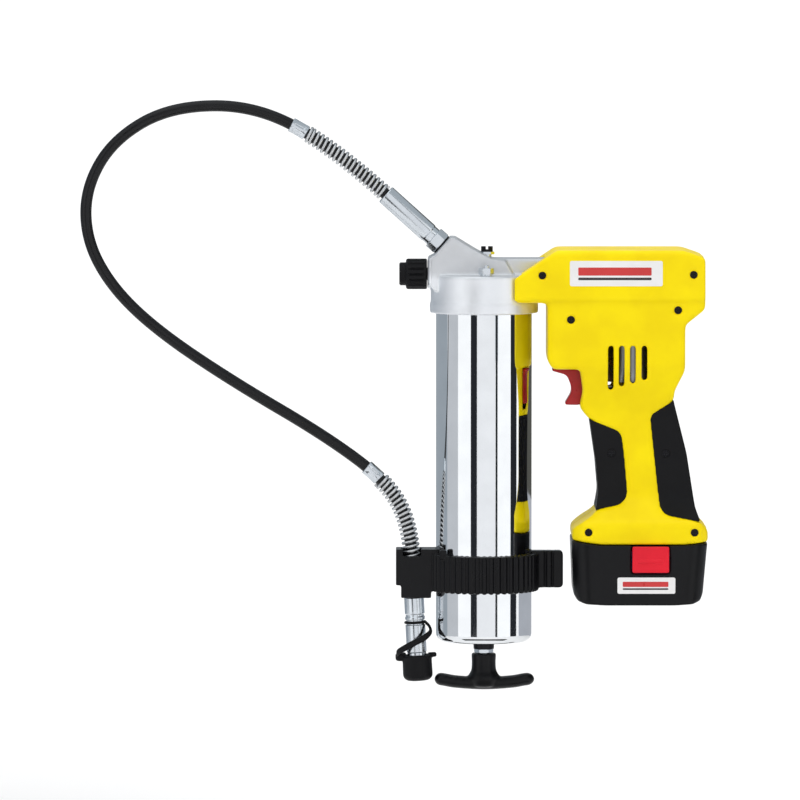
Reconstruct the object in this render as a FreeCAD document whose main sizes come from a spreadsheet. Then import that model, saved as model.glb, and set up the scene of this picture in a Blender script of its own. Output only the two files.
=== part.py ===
import FreeCAD, Part
import Sketcher
import math
import os

# Cordless grease gun, in millimetres. The origin is on the barrel's axis, halfway down the bare
# barrel, where a rack would clamp it. +Z runs along the barrel to the pump head, +X runs from
# the barrel to the pistol housing, and the housing splits on the plane Y = 0.

os.makedirs("parts", exist_ok=True)
document = FreeCAD.newDocument("GreaseGun")
Vector = FreeCAD.Vector

SIZES = {
    # grease barrel and pump head
    "barrel_radius": 31.7, "barrel_wall": 1.4, "barrel_top": 100.5, "barrel_bottom": -136.4,
    "barrel_end_round": 5.0, "gasket_thick": 1.6, "socket_gap": 0.05,
    "collar_radius": 35.7, "collar_low": 81.0, "collar_high": 106.5, "collar_lip": 87.4,
    "head_half_depth": 18.0, "neck_half_depth": 13.0, "neck_low": 104.0, "neck_high": 117.1,
    "neck_end": 49.0, "pump_bore": 4.0, "pump_height": 110.5, "pump_bore_end": -9.0,
    "filler_height": 106.5, "filler_boss": 9.5, "filler_bore": 4.2, "filler_face": -37.3,
    "inlet_bore": 5.0, "relief_x": 1.9, "relief_bore": 3.0, "relief_seat": 119.4,
    "bleed_x": 1.2, "bleed_y": -27.0, "bleed_bore": 2.5,
    # outlet, stem and hose
    "outlet_x": -27.5, "outlet_z": 125.4, "outlet_rise": 42.0, "outlet_bore": 5.0,
    "outlet_depth": 16.0, "valve_seat_bore": 2.0, "nut_corner": 7.7, "nut_end": 8.0,
    "stem_radius": 6.6, "stem_end": 50.3, "stem_bore": 2.0,
    "hose_radius": 3.75, "guard_inner": 4.1, "guard_upper_outer": 5.8, "guard_lower_outer": 5.95,
    "sleeve_outer": 4.9, "sleeve_long": 11.5, "guard_upper_long": 65.0, "guard_lower_long": 60.0,
    # grease coupler and its cap
    "fitting_radius": 5.6, "fitting_end": 23.0, "coupler_radius": 6.6, "coupler_end": 60.0,
    "sleeve_radius": 6.2, "sleeve_end": 72.0, "coupler_mouth": 3.3, "jaw_outer": 5.0,
    "strap_station": 40.0, "strap_ring": 8.3, "strap_thick": 1.5,
    "cap_radius": 10.0, "cap_inner": 6.95, "cap_start": 62.2, "cap_end": 78.8, "cap_floor": 75.0,
    "cap_round": 4.0,
    # clip that holds the coupler to the barrel
    "band_outer": 35.0, "band_low": -102.0, "band_high": -78.2, "rib_rise": 1.3,
    "block_left": -58.1, "block_right": -34.8, "block_low": -107.3, "block_high": -75.0,
    "block_half_depth": 10.5, "clip_hole": 6.95, "tab_right": 52.3, "tab_low": -100.8,
    "tab_high": -76.3, "tab_half_depth": 5.0,
    # follower, rod and handle
    "rod_radius": 4.0, "rod_gap": 0.05, "rod_top": 93.0, "follower_radius": 30.2,
    "follower_low": 80.0, "follower_high": 93.0, "plate_thick": 3.0, "plate_radius": 28.0,
    "bush_radius": 8.4, "bush_end": -141.8, "rod_nut_end": -144.1, "rod_nut_corner": 6.4,
    "handle_stem": 8.2, "handle_top": -144.4, "bar_top": -157.4, "bar_low": -169.0,
    "bar_left": -32.3, "bar_right": 33.2, "bar_half_depth": 6.5,
    # pistol housing
    "shell_wall": 2.4, "pad_thick": 1.5, "block_half": 32.0, "body_half": 29.5,
    "grip_half": 20.5, "base_half": 35.5, "housing_top": 123.5, "step_height": 90.0,
    "base_bottom": -69.8, "screw_head": 2.6, "screw_shank": 1.4, "screw_boss": 4.6,
    # pump drive
    "case_left": 49.0, "case_right": 108.0, "case_low": 84.0, "case_high": 120.0,
    "case_half": 26.0, "case_wall": 2.5, "crank_x": 73.0, "gear_tip": 20.0, "gear_root": 17.6,
    "pinion_tip": 5.0, "pinion_root": 3.2, "tooth_gap": 0.3, "gear_low": 88.0, "gear_high": 93.0,
    "crank_shaft": 4.0, "crank_throw": 6.0, "crank_pin": 2.5, "bearing_outer": 8.0,
    "yoke_half": 13.5, "yoke_low": 104.5, "yoke_high": 116.5, "plunger_radius": 3.95,
    "plunger_tip": -1.0, "motor_radius": 20.0, "motor_low": 36.0, "motor_high": 74.0,
    # trigger and switch
    "pivot_x": 68.0, "pivot_z": 41.5, "pivot_radius": 1.5, "trigger_half": 7.0,
    "slot_half": 7.6, "switch_half": 8.0,
    # battery
    "pack_top": -70.2, "pack_bottom": -109.8, "pack_half": 37.0, "pack_wall": 2.6,
    "pack_corner": 13.0, "tower_left": 90.0, "tower_right": 114.0, "tower_half": 13.5,
    "tower_high": -42.0, "cell_radius": 10.4, "cell_pitch": 21.2, "cell_low": -105.5,
    "cell_high": -75.0, "pack_middle": 102.0, "button_left": 97.0, "button_right": 121.2,
    "button_low": -88.0, "button_high": -70.8, "button_face": 38.8, "button_back": 35.6,
    "label_thick": 0.3,
}


class Length:
    """A size from the sheet, or a sum of such sizes, that keeps its formula."""

    def __init__(self, value, formula):
        self.value = value
        self.formula = formula

    def combine(self, other, sign, value):
        return Length(value, "(%s %s %s)" % (self.formula, sign, formula_of(other)))

    def __add__(self, other):
        return self.combine(other, "+", self.value + float(other))

    def __sub__(self, other):
        return self.combine(other, "-", self.value - float(other))

    def __neg__(self):
        return Length(-self.value, "(-1 * %s)" % self.formula)

    def __float__(self):
        return self.value


class SheetSizes:
    """Gives each named cell of the sheet as a Length."""

    def __getattr__(self, name):
        return Length(SIZES[name], "Sizes.%s" % name)


def formula_of(amount):
    """The formula of a Length, or the text of a plain number."""
    if isinstance(amount, Length):
        return amount.formula
    return repr(float(amount))


def make_sheet():
    """Write every driving size into the spreadsheet, one named cell each."""
    sheet = document.addObject("Spreadsheet::Sheet", "Sizes")
    for row, (name, value) in enumerate(SIZES.items(), start=1):
        sheet.set("A%d" % row, name)
        sheet.set("B%d" % row, str(value))
        sheet.setAlias("B%d" % row, name)
    document.recompute()


size = SheetSizes()
nodes = []


# ---------------------------------------------------------------- building with sketches

def new_body(label):
    """Start a sub-part that is built up from features."""
    body = document.addObject("PartDesign::Body", label)
    body.Label = label
    nodes.append(body)
    return body


def origin_plane(body, role):
    """One of the body's own origin planes."""
    return [feature for feature in body.Origin.OriginFeatures if feature.Role == role][0]


def closed_sketch(body, plane, corners, offset=0.0):
    """A sketch of straight sides through the corners, each corner tied to its sizes."""
    sketch = body.newObject("Sketcher::SketchObject", body.Label + "_sketch")
    sketch.AttachmentSupport = [(origin_plane(body, plane + "_Plane"), "")]
    sketch.MapMode = "FlatFace"
    sketch.setExpression("AttachmentOffset.Base.z", formula_of(offset))
    points = [Vector(float(across), float(up), 0) for across, up in corners]
    sides = [Part.LineSegment(points[i - 1], points[i]) for i in range(len(points))]
    names = sketch.addGeometry(sides, False)
    for i, name in enumerate(names):
        sketch.addConstraint(Sketcher.Constraint("Coincident", names[i - 1], 2, name, 1))
    for name, corner in zip(names, corners):
        for kind, axis, amount in (("DistanceX", -2, corner[0]), ("DistanceY", -1, corner[1])):
            if abs(float(amount)) < 1e-9:
                sketch.addConstraint(Sketcher.Constraint("PointOnObject", name, 2, axis))
                continue
            index = sketch.addConstraint(
                Sketcher.Constraint(kind, -1, 1, name, 2, float(amount)))
            if isinstance(amount, Length):
                sketch.setExpression("Constraints[%d]" % index, amount.formula)
    return sketch


def revolve(body, corners):
    """Add a turned shape: corners are (radius, height) about the body's own Z axis."""
    sketch = closed_sketch(body, "XZ", corners)
    feature = body.newObject("PartDesign::Revolution", body.Label + "_turn")
    feature.Profile = sketch
    feature.ReferenceAxis = (sketch, ["V_Axis"])
    feature.Angle = 360
    return feature


def pad(body, plane, corners, start, end):
    """Add a flat shape between two stations along the plane's axis."""
    start, end = as_length(start), as_length(end)
    sketch = closed_sketch(body, plane, corners, -end if plane == "XZ" else start)
    feature = body.newObject("PartDesign::Pad", body.Label + "_pad")
    feature.Profile = sketch
    feature.setExpression("Length", (end - start).formula)
    return feature


def as_length(amount):
    """A plain number as a Length."""
    if isinstance(amount, Length):
        return amount
    return Length(float(amount), repr(float(amount)))


def rectangle(left, right, low, high):
    """The four corners of a rectangle."""
    return [(left, low), (right, low), (right, high), (left, high)]


ALONG = {
    "X": FreeCAD.Rotation(Vector(0, 0, 1), Vector(1, 0, 0)),
    "Y": FreeCAD.Rotation(Vector(0, 0, 1), Vector(0, 1, 0)),
    "Z": FreeCAD.Rotation(),
}


def cylinder(body, radius, start, end, centre=(0, 0), along="Z", cut=False):
    """Add or cut a cylinder; centre holds the two places across its direction, in X, Y, Z order."""
    kind = "PartDesign::SubtractiveCylinder" if cut else "PartDesign::AdditiveCylinder"
    feature = body.newObject(kind, body.Label + "_round")
    feature.AttachmentSupport = [(origin_plane(body, "XY_Plane"), "")]
    feature.MapMode = "FlatFace"
    feature.AttachmentOffset = FreeCAD.Placement(Vector(), ALONG[along])
    places = {"X": (start, centre[0], centre[1]), "Y": (centre[0], start, centre[1]),
              "Z": (centre[0], centre[1], start)}[along]
    for axis, place in zip("xyz", places):
        feature.setExpression("AttachmentOffset.Base." + axis, formula_of(place))
    feature.setExpression("Radius", formula_of(radius))
    feature.setExpression("Height", (as_length(end) - as_length(start)).formula)
    return feature


def tilted_hole(body, radius, placement, depth):
    """Cut a round hole that runs from a placement along its own Z axis."""
    feature = body.newObject("PartDesign::SubtractiveCylinder", body.Label + "_hole")
    feature.AttachmentSupport = [(origin_plane(body, "XY_Plane"), "")]
    feature.MapMode = "FlatFace"
    feature.AttachmentOffset = placement
    feature.setExpression("Radius", formula_of(radius))
    feature.setExpression("Height", formula_of(depth))
    return feature


def hexagon(body, corner_radius, start, end):
    """Add a hexagonal prism on the body's own Z axis."""
    feature = body.newObject("PartDesign::AdditivePrism", body.Label + "_hex")
    feature.Polygon = 6
    feature.AttachmentSupport = [(origin_plane(body, "XY_Plane"), "")]
    feature.MapMode = "FlatFace"
    feature.setExpression("AttachmentOffset.Base.z", formula_of(start))
    feature.setExpression("Circumradius", formula_of(corner_radius))
    feature.setExpression("Height", (as_length(end) - as_length(start)).formula)
    return feature


def box(body, left, right, front, back, low, high, cut=False):
    """Add or cut a box given by its six sides."""
    kind = "PartDesign::SubtractiveBox" if cut else "PartDesign::AdditiveBox"
    feature = body.newObject(kind, body.Label + "_box")
    feature.AttachmentSupport = [(origin_plane(body, "XY_Plane"), "")]
    feature.MapMode = "FlatFace"
    for axis, place in zip("xyz", (left, front, low)):
        feature.setExpression("AttachmentOffset.Base." + axis, formula_of(place))
    feature.setExpression("Length", (as_length(right) - as_length(left)).formula)
    feature.setExpression("Width", (as_length(back) - as_length(front)).formula)
    feature.setExpression("Height", (as_length(high) - as_length(low)).formula)
    return feature


def round_edges(body, radius, wanted):
    """Fillet those edges of the body's newest feature that the test function accepts."""
    document.recompute()
    tip = body.Tip
    names = ["Edge%d" % number for number, edge in enumerate(tip.Shape.Edges, start=1)
             if wanted(edge)]
    if not names:
        raise RuntimeError("%s has no edge to round" % body.Label)
    feature = body.newObject("PartDesign::Fillet", body.Label + "_fillet")
    feature.Base = (tip, names)
    feature.Radius = radius
    return feature


def ring_at(height, radius):
    """A test for the circular edge of a given height and radius."""
    def wanted(edge):
        circle = edge.Curve
        return (circle.TypeId == "Part::GeomCircle" and abs(circle.Radius - float(radius)) < 0.01
                and abs(circle.Center.z - float(height)) < 0.01)
    return wanted


def edges_along(direction, inside=lambda point: True):
    """A test for straight edges along a direction whose middle lies in a region."""
    def wanted(edge):
        if edge.Curve.TypeId != "Part::GeomLine":
            return False
        run = (edge.Vertexes[1].Point - edge.Vertexes[0].Point).normalize()
        return abs(run.dot(direction)) > 0.99 and inside(edge.CenterOfMass)
    return wanted


def pattern_round(body, feature, count):
    """Repeat a feature evenly about the body's Z axis."""
    pattern = body.newObject("PartDesign::PolarPattern", body.Label + "_pattern")
    pattern.Originals = [feature]
    pattern.Axis = (origin_axis(body, "Z_Axis"), [""])
    pattern.Angle = 360
    pattern.Occurrences = count
    body.Tip = pattern
    return pattern


def origin_axis(body, role):
    """One of the body's own origin axes."""
    return [feature for feature in body.Origin.OriginFeatures if feature.Role == role][0]


# ---------------------------------------------------------------- building with Part

def add_shape(label, shape):
    """Keep a shape made with Part's own functions as a sub-part."""
    feature = document.addObject("Part::Feature", label)
    feature.Label = label
    feature.Shape = shape
    nodes.append(feature)
    return feature


def mirrored(label, source):
    """The same sub-part on the other side of the plane Y = 0."""
    mirror = document.addObject("Part::Mirroring", label)
    mirror.Label = label
    mirror.Source = source
    mirror.Base = Vector()
    mirror.Normal = Vector(0, 1, 0)
    nodes.append(mirror)
    return mirror


def block_between(left, right, front, back, low, high):
    """A plain box solid given by its six sides."""
    sides = [float(side) for side in (left, right, front, back, low, high)]
    corner = Vector(sides[0], sides[2], sides[4])
    return Part.makeBox(sides[1] - sides[0], sides[3] - sides[2], sides[5] - sides[4], corner)


def rounded_face(corners, lift):
    """A flat face whose corners are (across, up, radius); lift turns them into points."""
    points = [lift(float(corner[0]), float(corner[1])) for corner in corners]
    edges = []
    ends = []
    for i, corner in enumerate(corners):
        here, before = points[i], points[i - 1]
        after = points[(i + 1) % len(points)]
        radius = float(corner[2])
        inward = (before - here).normalize()
        outward = (after - here).normalize()
        if radius == 0:
            ends.append((here, here, None))
            continue
        half = inward.getAngle(outward) / 2
        cut = radius / math.tan(half)
        middle = here + (inward + outward).normalize() * (radius / math.sin(half) - radius)
        ends.append((here + inward * cut, here + outward * cut, middle))
    for i, (start, end, middle) in enumerate(ends):
        if middle is not None:
            edges.append(Part.Arc(start, middle, end).toShape())
        following = ends[(i + 1) % len(ends)][0]
        if (following - end).Length > 1e-6:
            edges.append(Part.LineSegment(end, following).toShape())
    return Part.Face(Part.Wire(Part.__sortEdges__(edges)))


def seen_from_front(across, up):
    """A point of the XZ plane."""
    return Vector(across, 0, up)


def seen_from_side(across, up):
    """A point of the YZ plane."""
    return Vector(0, across, up)


def coil(radius, wire, low, high, turns, sides=12):
    """A wire of twelve flats wound about the Z axis between two heights."""
    pitch = (high - low) / turns
    spine = Part.Wire(Part.makeHelix(pitch, high - low, radius))
    angles = [2.0 * math.pi * side / sides for side in range(sides)]
    corners = [Vector(radius + wire * math.cos(a), 0, wire * math.sin(a)) for a in angles]
    section = Part.makePolygon(corners + corners[:1])
    spring = spine.makePipeShell([section], True, True)
    spring.translate(Vector(0, 0, low))
    return spring


# ---------------------------------------------------------------- places of the sloping parts

OUTLET = FreeCAD.Placement(
    Vector(SIZES["outlet_x"], 0, SIZES["outlet_z"]),
    FreeCAD.Rotation(Vector(0, 1, 0), SIZES["outlet_rise"] - 90))

# Corners of the hose's route, from the stem on the pump head to the fitting in the clip.
HOSE_ROUTE = [
    Vector(-64.9, 0, 159.1),
    Vector(-98.0, 0, 188.9),
    Vector(-149.5, 0, 217.5),
    Vector(-206.0, 0, 217.0),
    Vector(-243.9, 0, 195.2),
    Vector(-262.5, 0, 163.2),
    Vector(-262.2, 0, 129.2),
    Vector(-245.6, 0, 97.9),
    Vector(-215.4, 0, 68.8),
    Vector(-165.2, 0, 35.0),
    Vector(-104.0, 0, -1.0),
    Vector(-64.0, 0, -31.0),
    Vector(-48.5, 0, -60.0),
    Vector(-47.3, 0, -84.0),
]
HOSE_END = HOSE_ROUTE[-1]
COUPLER = FreeCAD.Placement(
    HOSE_END, FreeCAD.Rotation(Vector(0, 0, 1), HOSE_END - HOSE_ROUTE[-2]))


def route_edges(points):
    """Straight runs joined by tangent arcs, each as large as its two runs allow."""
    edges = []
    start = points[0]
    for before, here, after in zip(points, points[1:], points[2:]):
        inward = (before - here).normalize()
        outward = (after - here).normalize()
        cut = 0.45 * min((before - here).Length, (after - here).Length)
        half_turn = (math.pi - inward.getAngle(outward)) / 2
        radius = cut / math.tan(half_turn)
        print("hose bend radius %.1f" % radius)
        half = math.pi / 2 - half_turn
        middle = here + (inward + outward).normalize() * (radius / math.sin(half) - radius)
        edges.append(Part.LineSegment(start, here + inward * cut).toShape())
        edges.append(Part.Arc(here + inward * cut, middle, here + outward * cut).toShape())
        start = here + outward * cut
    edges.append(Part.LineSegment(start, points[-1]).toShape())
    return edges


def route_slice(edges, start, end):
    """The stretch of a route between two lengths along it."""
    kept = []
    passed = 0.0
    for edge in edges:
        low = max(start - passed, 0.0)
        high = min(end - passed, edge.Length)
        if high - low > 1e-4:
            first = edge.getParameterByLength(low)
            last = edge.getParameterByLength(high)
            kept.append(edge.Curve.toShape(first, last))
        passed += edge.Length
    return Part.Wire(kept)


def swept_rod(wire, radius):
    """A round rod along a wire."""
    first = wire.OrderedEdges[0]
    start = first.valueAt(first.FirstParameter)
    along = first.tangentAt(first.FirstParameter)
    section = Part.Wire(Part.makeCircle(float(radius), start, along))
    return wire.makePipeShell([section], True, True)


def swept_tube(wire, outer, inner):
    """A round tube along a wire."""
    return swept_rod(wire, outer).cut(swept_rod(wire, inner))


# ---------------------------------------------------------------- barrel and pump head

def make_barrel():
    outer = size.barrel_radius
    inner = size.barrel_radius - size.barrel_wall
    hole = size.bush_radius + size.socket_gap
    floor = size.barrel_bottom + size.barrel_wall
    body = new_body("barrel_tube")
    revolve(body, [(hole, size.barrel_bottom), (outer, size.barrel_bottom),
                   (outer, size.barrel_top), (inner, size.barrel_top), (inner, floor),
                   (hole, floor)])
    round_edges(body, SIZES["barrel_end_round"], ring_at(size.barrel_bottom, outer))
    round_edges(body, SIZES["barrel_end_round"] - SIZES["barrel_wall"], ring_at(floor, inner))
    gasket = new_body("barrel_gasket")
    top = size.barrel_top + size.gasket_thick
    revolve(gasket, [(inner - 1.5, size.barrel_top), (outer, size.barrel_top), (outer, top),
                     (inner - 1.5, top)])


def make_pump_head():
    body = new_body("pump_head")
    top = size.collar_high
    revolve(body, [(0, size.collar_low), (size.collar_radius, size.collar_low),
                   (size.collar_radius, size.collar_lip),
                   (size.collar_radius - 0.6, size.collar_lip + 0.8),
                   (size.collar_radius - 0.6, top), (0, top)])
    round_edges(body, 1.2, ring_at(top, size.collar_radius - 0.6))
    half = size.head_half_depth
    pad(body, "XZ", [(-33.0, 96.0), (-37.0, 101.0), (-37.0, 117.5), (-32.7, 119.6),
                     (-22.3, 131.2), (-18.9, 130.9), (-5.4, 122.7), (5.1, 117.1), (14.0, 116.0),
                     (20.0, 105.0), (20.0, 96.0)], -half, half)
    neck = size.neck_half_depth
    pad(body, "XZ", rectangle(2.0, size.neck_end, size.neck_low, size.neck_high), -neck, neck)
    round_edges(body, 2.5, edges_along(Vector(0, 0, 1), lambda p: p.x < -36.9))
    cylinder(body, size.filler_boss, size.filler_face, -20.0, (0, size.filler_height), "X")
    socket = size.barrel_radius + size.socket_gap
    gasket_top = size.barrel_top + size.gasket_thick
    cylinder(body, socket, size.collar_low - 1.0, gasket_top, cut=True)
    cylinder(body, size.pump_bore, size.pump_bore_end, size.neck_end + 1.0,
             (0, size.pump_height), "X", cut=True)
    cylinder(body, size.inlet_bore, size.barrel_top, size.pump_height, cut=True)
    cylinder(body, size.filler_bore, size.filler_face - 1.0, -4.0, (0, size.filler_height), "X",
             cut=True)
    cylinder(body, size.relief_bore, size.pump_height, 125.0, (size.relief_x, 0), cut=True)
    cylinder(body, 5.4, size.relief_seat, 130.0, (size.relief_x, 0), cut=True)
    cylinder(body, size.bleed_bore, size.barrel_top, size.collar_high + 1.0,
             (size.bleed_x, size.bleed_y), cut=True)
    deep = OUTLET.multiply(FreeCAD.Placement(Vector(0, 0, -SIZES["outlet_depth"]),
                                             FreeCAD.Rotation()))
    tilted_hole(body, size.outlet_bore, deep, size.outlet_depth + 8.0)
    deeper = OUTLET.multiply(FreeCAD.Placement(Vector(0, 0, -24.0), FreeCAD.Rotation()))
    tilted_hole(body, size.valve_seat_bore, deeper, 9.0)


def make_head_valves():
    seat = new_body("relief_valve_seat")
    low = size.relief_seat
    plug = size.relief_bore - 0.05
    revolve(seat, [(0, low - 4.6), (plug, low - 4.6), (plug, low), (0, low)])
    hexagon(seat, 5.0, low, low + 1.8)
    seat.Placement.Base = Vector(SIZES["relief_x"], 0, 0)
    screw = new_body("relief_valve_screw")
    revolve(screw, [(0, low + 1.8), (3.9, low + 1.8), (3.9, low + 4.6), (3.2, low + 5.3),
                    (0, low + 5.3)])
    box(screw, -0.6, 0.6, -4.5, 4.5, low + 4.2, low + 6.0, cut=True)
    screw.Placement.Base = Vector(SIZES["relief_x"], 0, 0)
    valve = new_body("bleed_valve")
    low = size.collar_high
    revolve(valve, [(1.5, 103.0), (size.bleed_bore - 0.05, 103.0), (size.bleed_bore - 0.05, low),
                    (4.0, low), (4.0, low + 1.0), (1.5, low + 1.0)])
    hexagon(valve, 5.2, low + 1.0, low + 5.2)
    cylinder(valve, 1.5, low + 1.0, low + 6.0, cut=True)
    valve.Placement.Base = Vector(SIZES["bleed_x"], SIZES["bleed_y"], 0)
    pin = new_body("bleed_pin")
    revolve(pin, [(0, low - 1.0), (1.42, low - 1.0), (1.42, low + 7.0), (0, low + 7.0)])
    pin.Placement.Base = Vector(SIZES["bleed_x"], SIZES["bleed_y"], 0)


def make_filler_cap():
    cap = new_body("filler_cap")
    revolve(cap, [(0, -11.0), (size.filler_bore - 0.06, -11.0), (size.filler_bore - 0.06, 0.3),
                  (10.1, 0.3), (10.1, 14.2), (7.6, 14.2), (7.6, 18.6), (0, 18.6)])
    flute = cylinder(cap, 1.3, 1.6, 13.0, (10.6, 0), cut=True)
    pattern_round(cap, flute, 16)
    cap.Placement = FreeCAD.Placement(Vector(SIZES["filler_face"], 0, SIZES["filler_height"]),
                                      FreeCAD.Rotation(Vector(0, 1, 0), -90))


# ---------------------------------------------------------------- outlet, hose and coupler

def make_outlet():
    washer = new_body("outlet_seal")
    revolve(washer, [(size.outlet_bore, 0.15), (7.2, 0.15), (7.2, 1.3),
                     (size.outlet_bore, 1.3)])
    fitting = new_body("outlet_fitting")
    bore = size.stem_bore
    thread = size.outlet_bore - 0.05
    revolve(fitting, [(bore, -4.0), (thread, -4.0), (thread, 1.3), (bore, 1.3)])
    hexagon(fitting, size.nut_corner, 1.3, size.nut_end)
    cylinder(fitting, bore, 0.0, size.nut_end + 1.0, cut=True)
    stem = new_body("hose_stem")
    end = size.stem_end
    revolve(stem, [(bore, size.nut_end), (size.stem_radius - 0.4, size.nut_end),
                   (size.stem_radius - 0.4, 12.0), (size.stem_radius, 12.6),
                   (size.stem_radius, end), (bore, end)])
    ball = document.addObject("Part::Sphere", "check_ball")
    ball.Label = "check_ball"
    ball.setExpression("Radius", "Sizes.outlet_bore - 2")
    nodes.append(ball)
    depth = SIZES["outlet_depth"]
    spring = add_shape("check_spring", coil(3.6, 0.35, 0.6, 4.8, 3))
    for part in (washer, fitting, stem):
        part.Placement = OUTLET
    spring.Placement = OUTLET.multiply(FreeCAD.Placement(Vector(0, 0, -depth + 6.2),
                                                         FreeCAD.Rotation()))
    ball.Placement.Base = OUTLET.multVec(Vector(0, 0, -depth + 3.0))


def make_hose():
    edges = route_edges(HOSE_ROUTE)
    total = sum(edge.Length for edge in edges)
    hose = swept_rod(Part.Wire(edges), SIZES["hose_radius"])
    expected = math.pi * SIZES["hose_radius"] ** 2 * total
    print("hose length %.1f, volume %.0f against %.0f" % (total, hose.Volume, expected))
    add_shape("hose", hose)
    inner = SIZES["guard_inner"]
    gap = 0.4
    guard_end = gap + SIZES["guard_upper_long"]
    sleeve_end = guard_end + gap + SIZES["sleeve_long"]
    lower_start = total - gap - SIZES["guard_lower_long"]
    sleeve_start = lower_start - gap - SIZES["sleeve_long"]
    guards = [
        ("guard_upper", gap, guard_end, SIZES["guard_upper_outer"]),
        ("guard_lower", lower_start, total - gap, SIZES["guard_lower_outer"]),
    ]
    for label, start, end, outer in guards:
        add_shape(label, swept_tube(route_slice(edges, start, end), outer, inner))
    sleeves = [swept_tube(route_slice(edges, start, end), SIZES["sleeve_outer"], inner)
               for start, end in ((guard_end + gap, sleeve_end),
                                  (sleeve_start, lower_start - gap))]
    add_shape("guard_sleeves", Part.Compound(sleeves))


def make_coupler():
    bore = size.stem_bore
    fitting = new_body("hose_end_fitting")
    revolve(fitting, [(bore, 0.0), (size.fitting_radius, 0.0),
                      (size.fitting_radius, size.fitting_end), (bore, size.fitting_end)])
    main = new_body("coupler_body")
    outer = size.coupler_radius
    strap = size.strap_station
    revolve(main, [(bore, size.fitting_end), (outer - 0.4, size.fitting_end),
                   (outer, size.fitting_end + 1.0), (outer, strap - 1.8),
                   (outer - 0.8, strap - 1.8), (outer - 0.8, strap + 1.8), (outer, strap + 1.8),
                   (outer, size.coupler_end), (bore, size.coupler_end)])
    sleeve = new_body("coupler_sleeve")
    mouth = size.coupler_mouth
    jaw_room = size.jaw_outer + 0.1
    radius = size.sleeve_radius
    end = size.sleeve_end
    revolve(sleeve, [(jaw_room, size.coupler_end), (radius, size.coupler_end),
                     (radius, end - 1.0), (radius - 1.2, end), (mouth, end), (mouth, end - 1.5),
                     (jaw_room, end - 2.5)])
    jaws = []
    for turn in range(3):
        ring = Part.makeCylinder(SIZES["jaw_outer"], 6.4, Vector(0, 0, 62.7))
        ring = ring.cut(Part.makeCylinder(SIZES["coupler_mouth"], 8.0, Vector(0, 0, 62.0)))
        wedge = Part.makeCylinder(8.0, 10.0, Vector(0, 0, 61.0), Vector(0, 0, 1), 110)
        jaw = ring.common(wedge)
        jaw.rotate(Vector(), Vector(0, 0, 1), 120 * turn)
        jaws.append(jaw)
    claws = add_shape("coupler_jaws", Part.Compound(jaws))
    for part in (fitting, main, sleeve, claws):
        part.Placement = COUPLER


def make_dust_cap():
    cap = new_body("dust_cap")
    start, end = size.cap_start, size.cap_end
    revolve(cap, [(0, size.cap_floor), (size.cap_inner, size.cap_floor), (size.cap_inner, start),
                  (size.cap_radius, start), (size.cap_radius, end), (0, end)])
    round_edges(cap, SIZES["cap_round"], ring_at(end, size.cap_radius))
    rim = start - 2.0
    pad(cap, "XY", rectangle(7.6, 14.6, -3.0, 3.0), rim, start + 3.2)
    pad(cap, "XY", rectangle(-13.4, -7.6, -1.6, 1.6), rim, start + 0.2)
    cap.Placement = COUPLER


def make_cap_strap():
    """A rubber ring round the coupler with a tail that crosses in front to the cap's lug."""
    station = SIZES["strap_station"]
    ring = Part.makeCylinder(SIZES["strap_ring"], 3.0, Vector(0, 0, station - 1.5))
    ring = ring.cut(Part.makeCylinder(SIZES["coupler_radius"] - 0.7, 5.0,
                                      Vector(0, 0, station - 2.5)))
    thick = SIZES["strap_thick"]
    tail = [Vector(-7.2, -4.0, station), Vector(-7.0, -9.2, station + 6.0),
            Vector(2.0, -11.0, station + 11.5), Vector(12.0, -9.0, station + 15.5),
            Vector(12.5, -4.6, station + 17.5)]
    spans = [Part.makeCylinder(thick, (end - start).Length, start, end - start)
             for start, end in zip(tail, tail[1:])]
    knuckles = [Part.makeSphere(thick, point) for point in tail[1:]]
    strap = add_shape("cap_strap", ring.fuse(spans + knuckles).removeSplitter())
    strap.Placement = COUPLER


def make_clip():
    body = new_body("hose_clip")
    low, high = size.band_low, size.band_high
    cylinder(body, size.band_outer, low, high)
    rib_top = size.band_outer + size.rib_rise
    rib = pad(body, "XY", [(size.band_outer - 1.0, -1.2), (rib_top - 0.4, -1.2), (rib_top, -0.6),
                           (rib_top, 0.6), (rib_top - 0.4, 1.2), (size.band_outer - 1.0, 1.2)],
              low, high)
    pattern_round(body, rib, 48)
    depth = size.block_half_depth
    box(body, size.block_left, -30.0, -depth, depth, size.block_low + 8.4, size.block_high)
    box(body, size.block_left + 3.4, size.block_right, -depth, depth, size.block_low,
        size.block_high)
    box(body, -53.5, -41.6, -depth - 1.0, -3.0, size.block_high - 4.6, size.block_high + 1.0,
        cut=True)
    tab = size.tab_half_depth
    box(body, 31.0, size.tab_right, -tab, tab, size.tab_low, size.tab_high)
    for groove in (40.6, 45.2):
        for front, back in ((-tab - 1.0, -tab + 0.9), (tab - 0.9, tab + 1.0)):
            box(body, groove - 0.7, groove + 0.7, front, back, size.tab_low - 1.0,
                size.tab_high + 1.0, cut=True)
    box(body, -29.0, -24.6, -25.0, -20.0, high - 2.0, high + 4.0)
    cylinder(body, size.barrel_radius + size.socket_gap, low - 10.0, high + 10.0, cut=True)
    tilted_hole(body, size.clip_hole,
                COUPLER.multiply(FreeCAD.Placement(Vector(0, 0, -30.0), FreeCAD.Rotation())),
                90.0)
    round_edges(body, 2.6, edges_along(Vector(0, 1, 0), lambda p: p.x > 50.0))


# ---------------------------------------------------------------- follower, rod and handle

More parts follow.
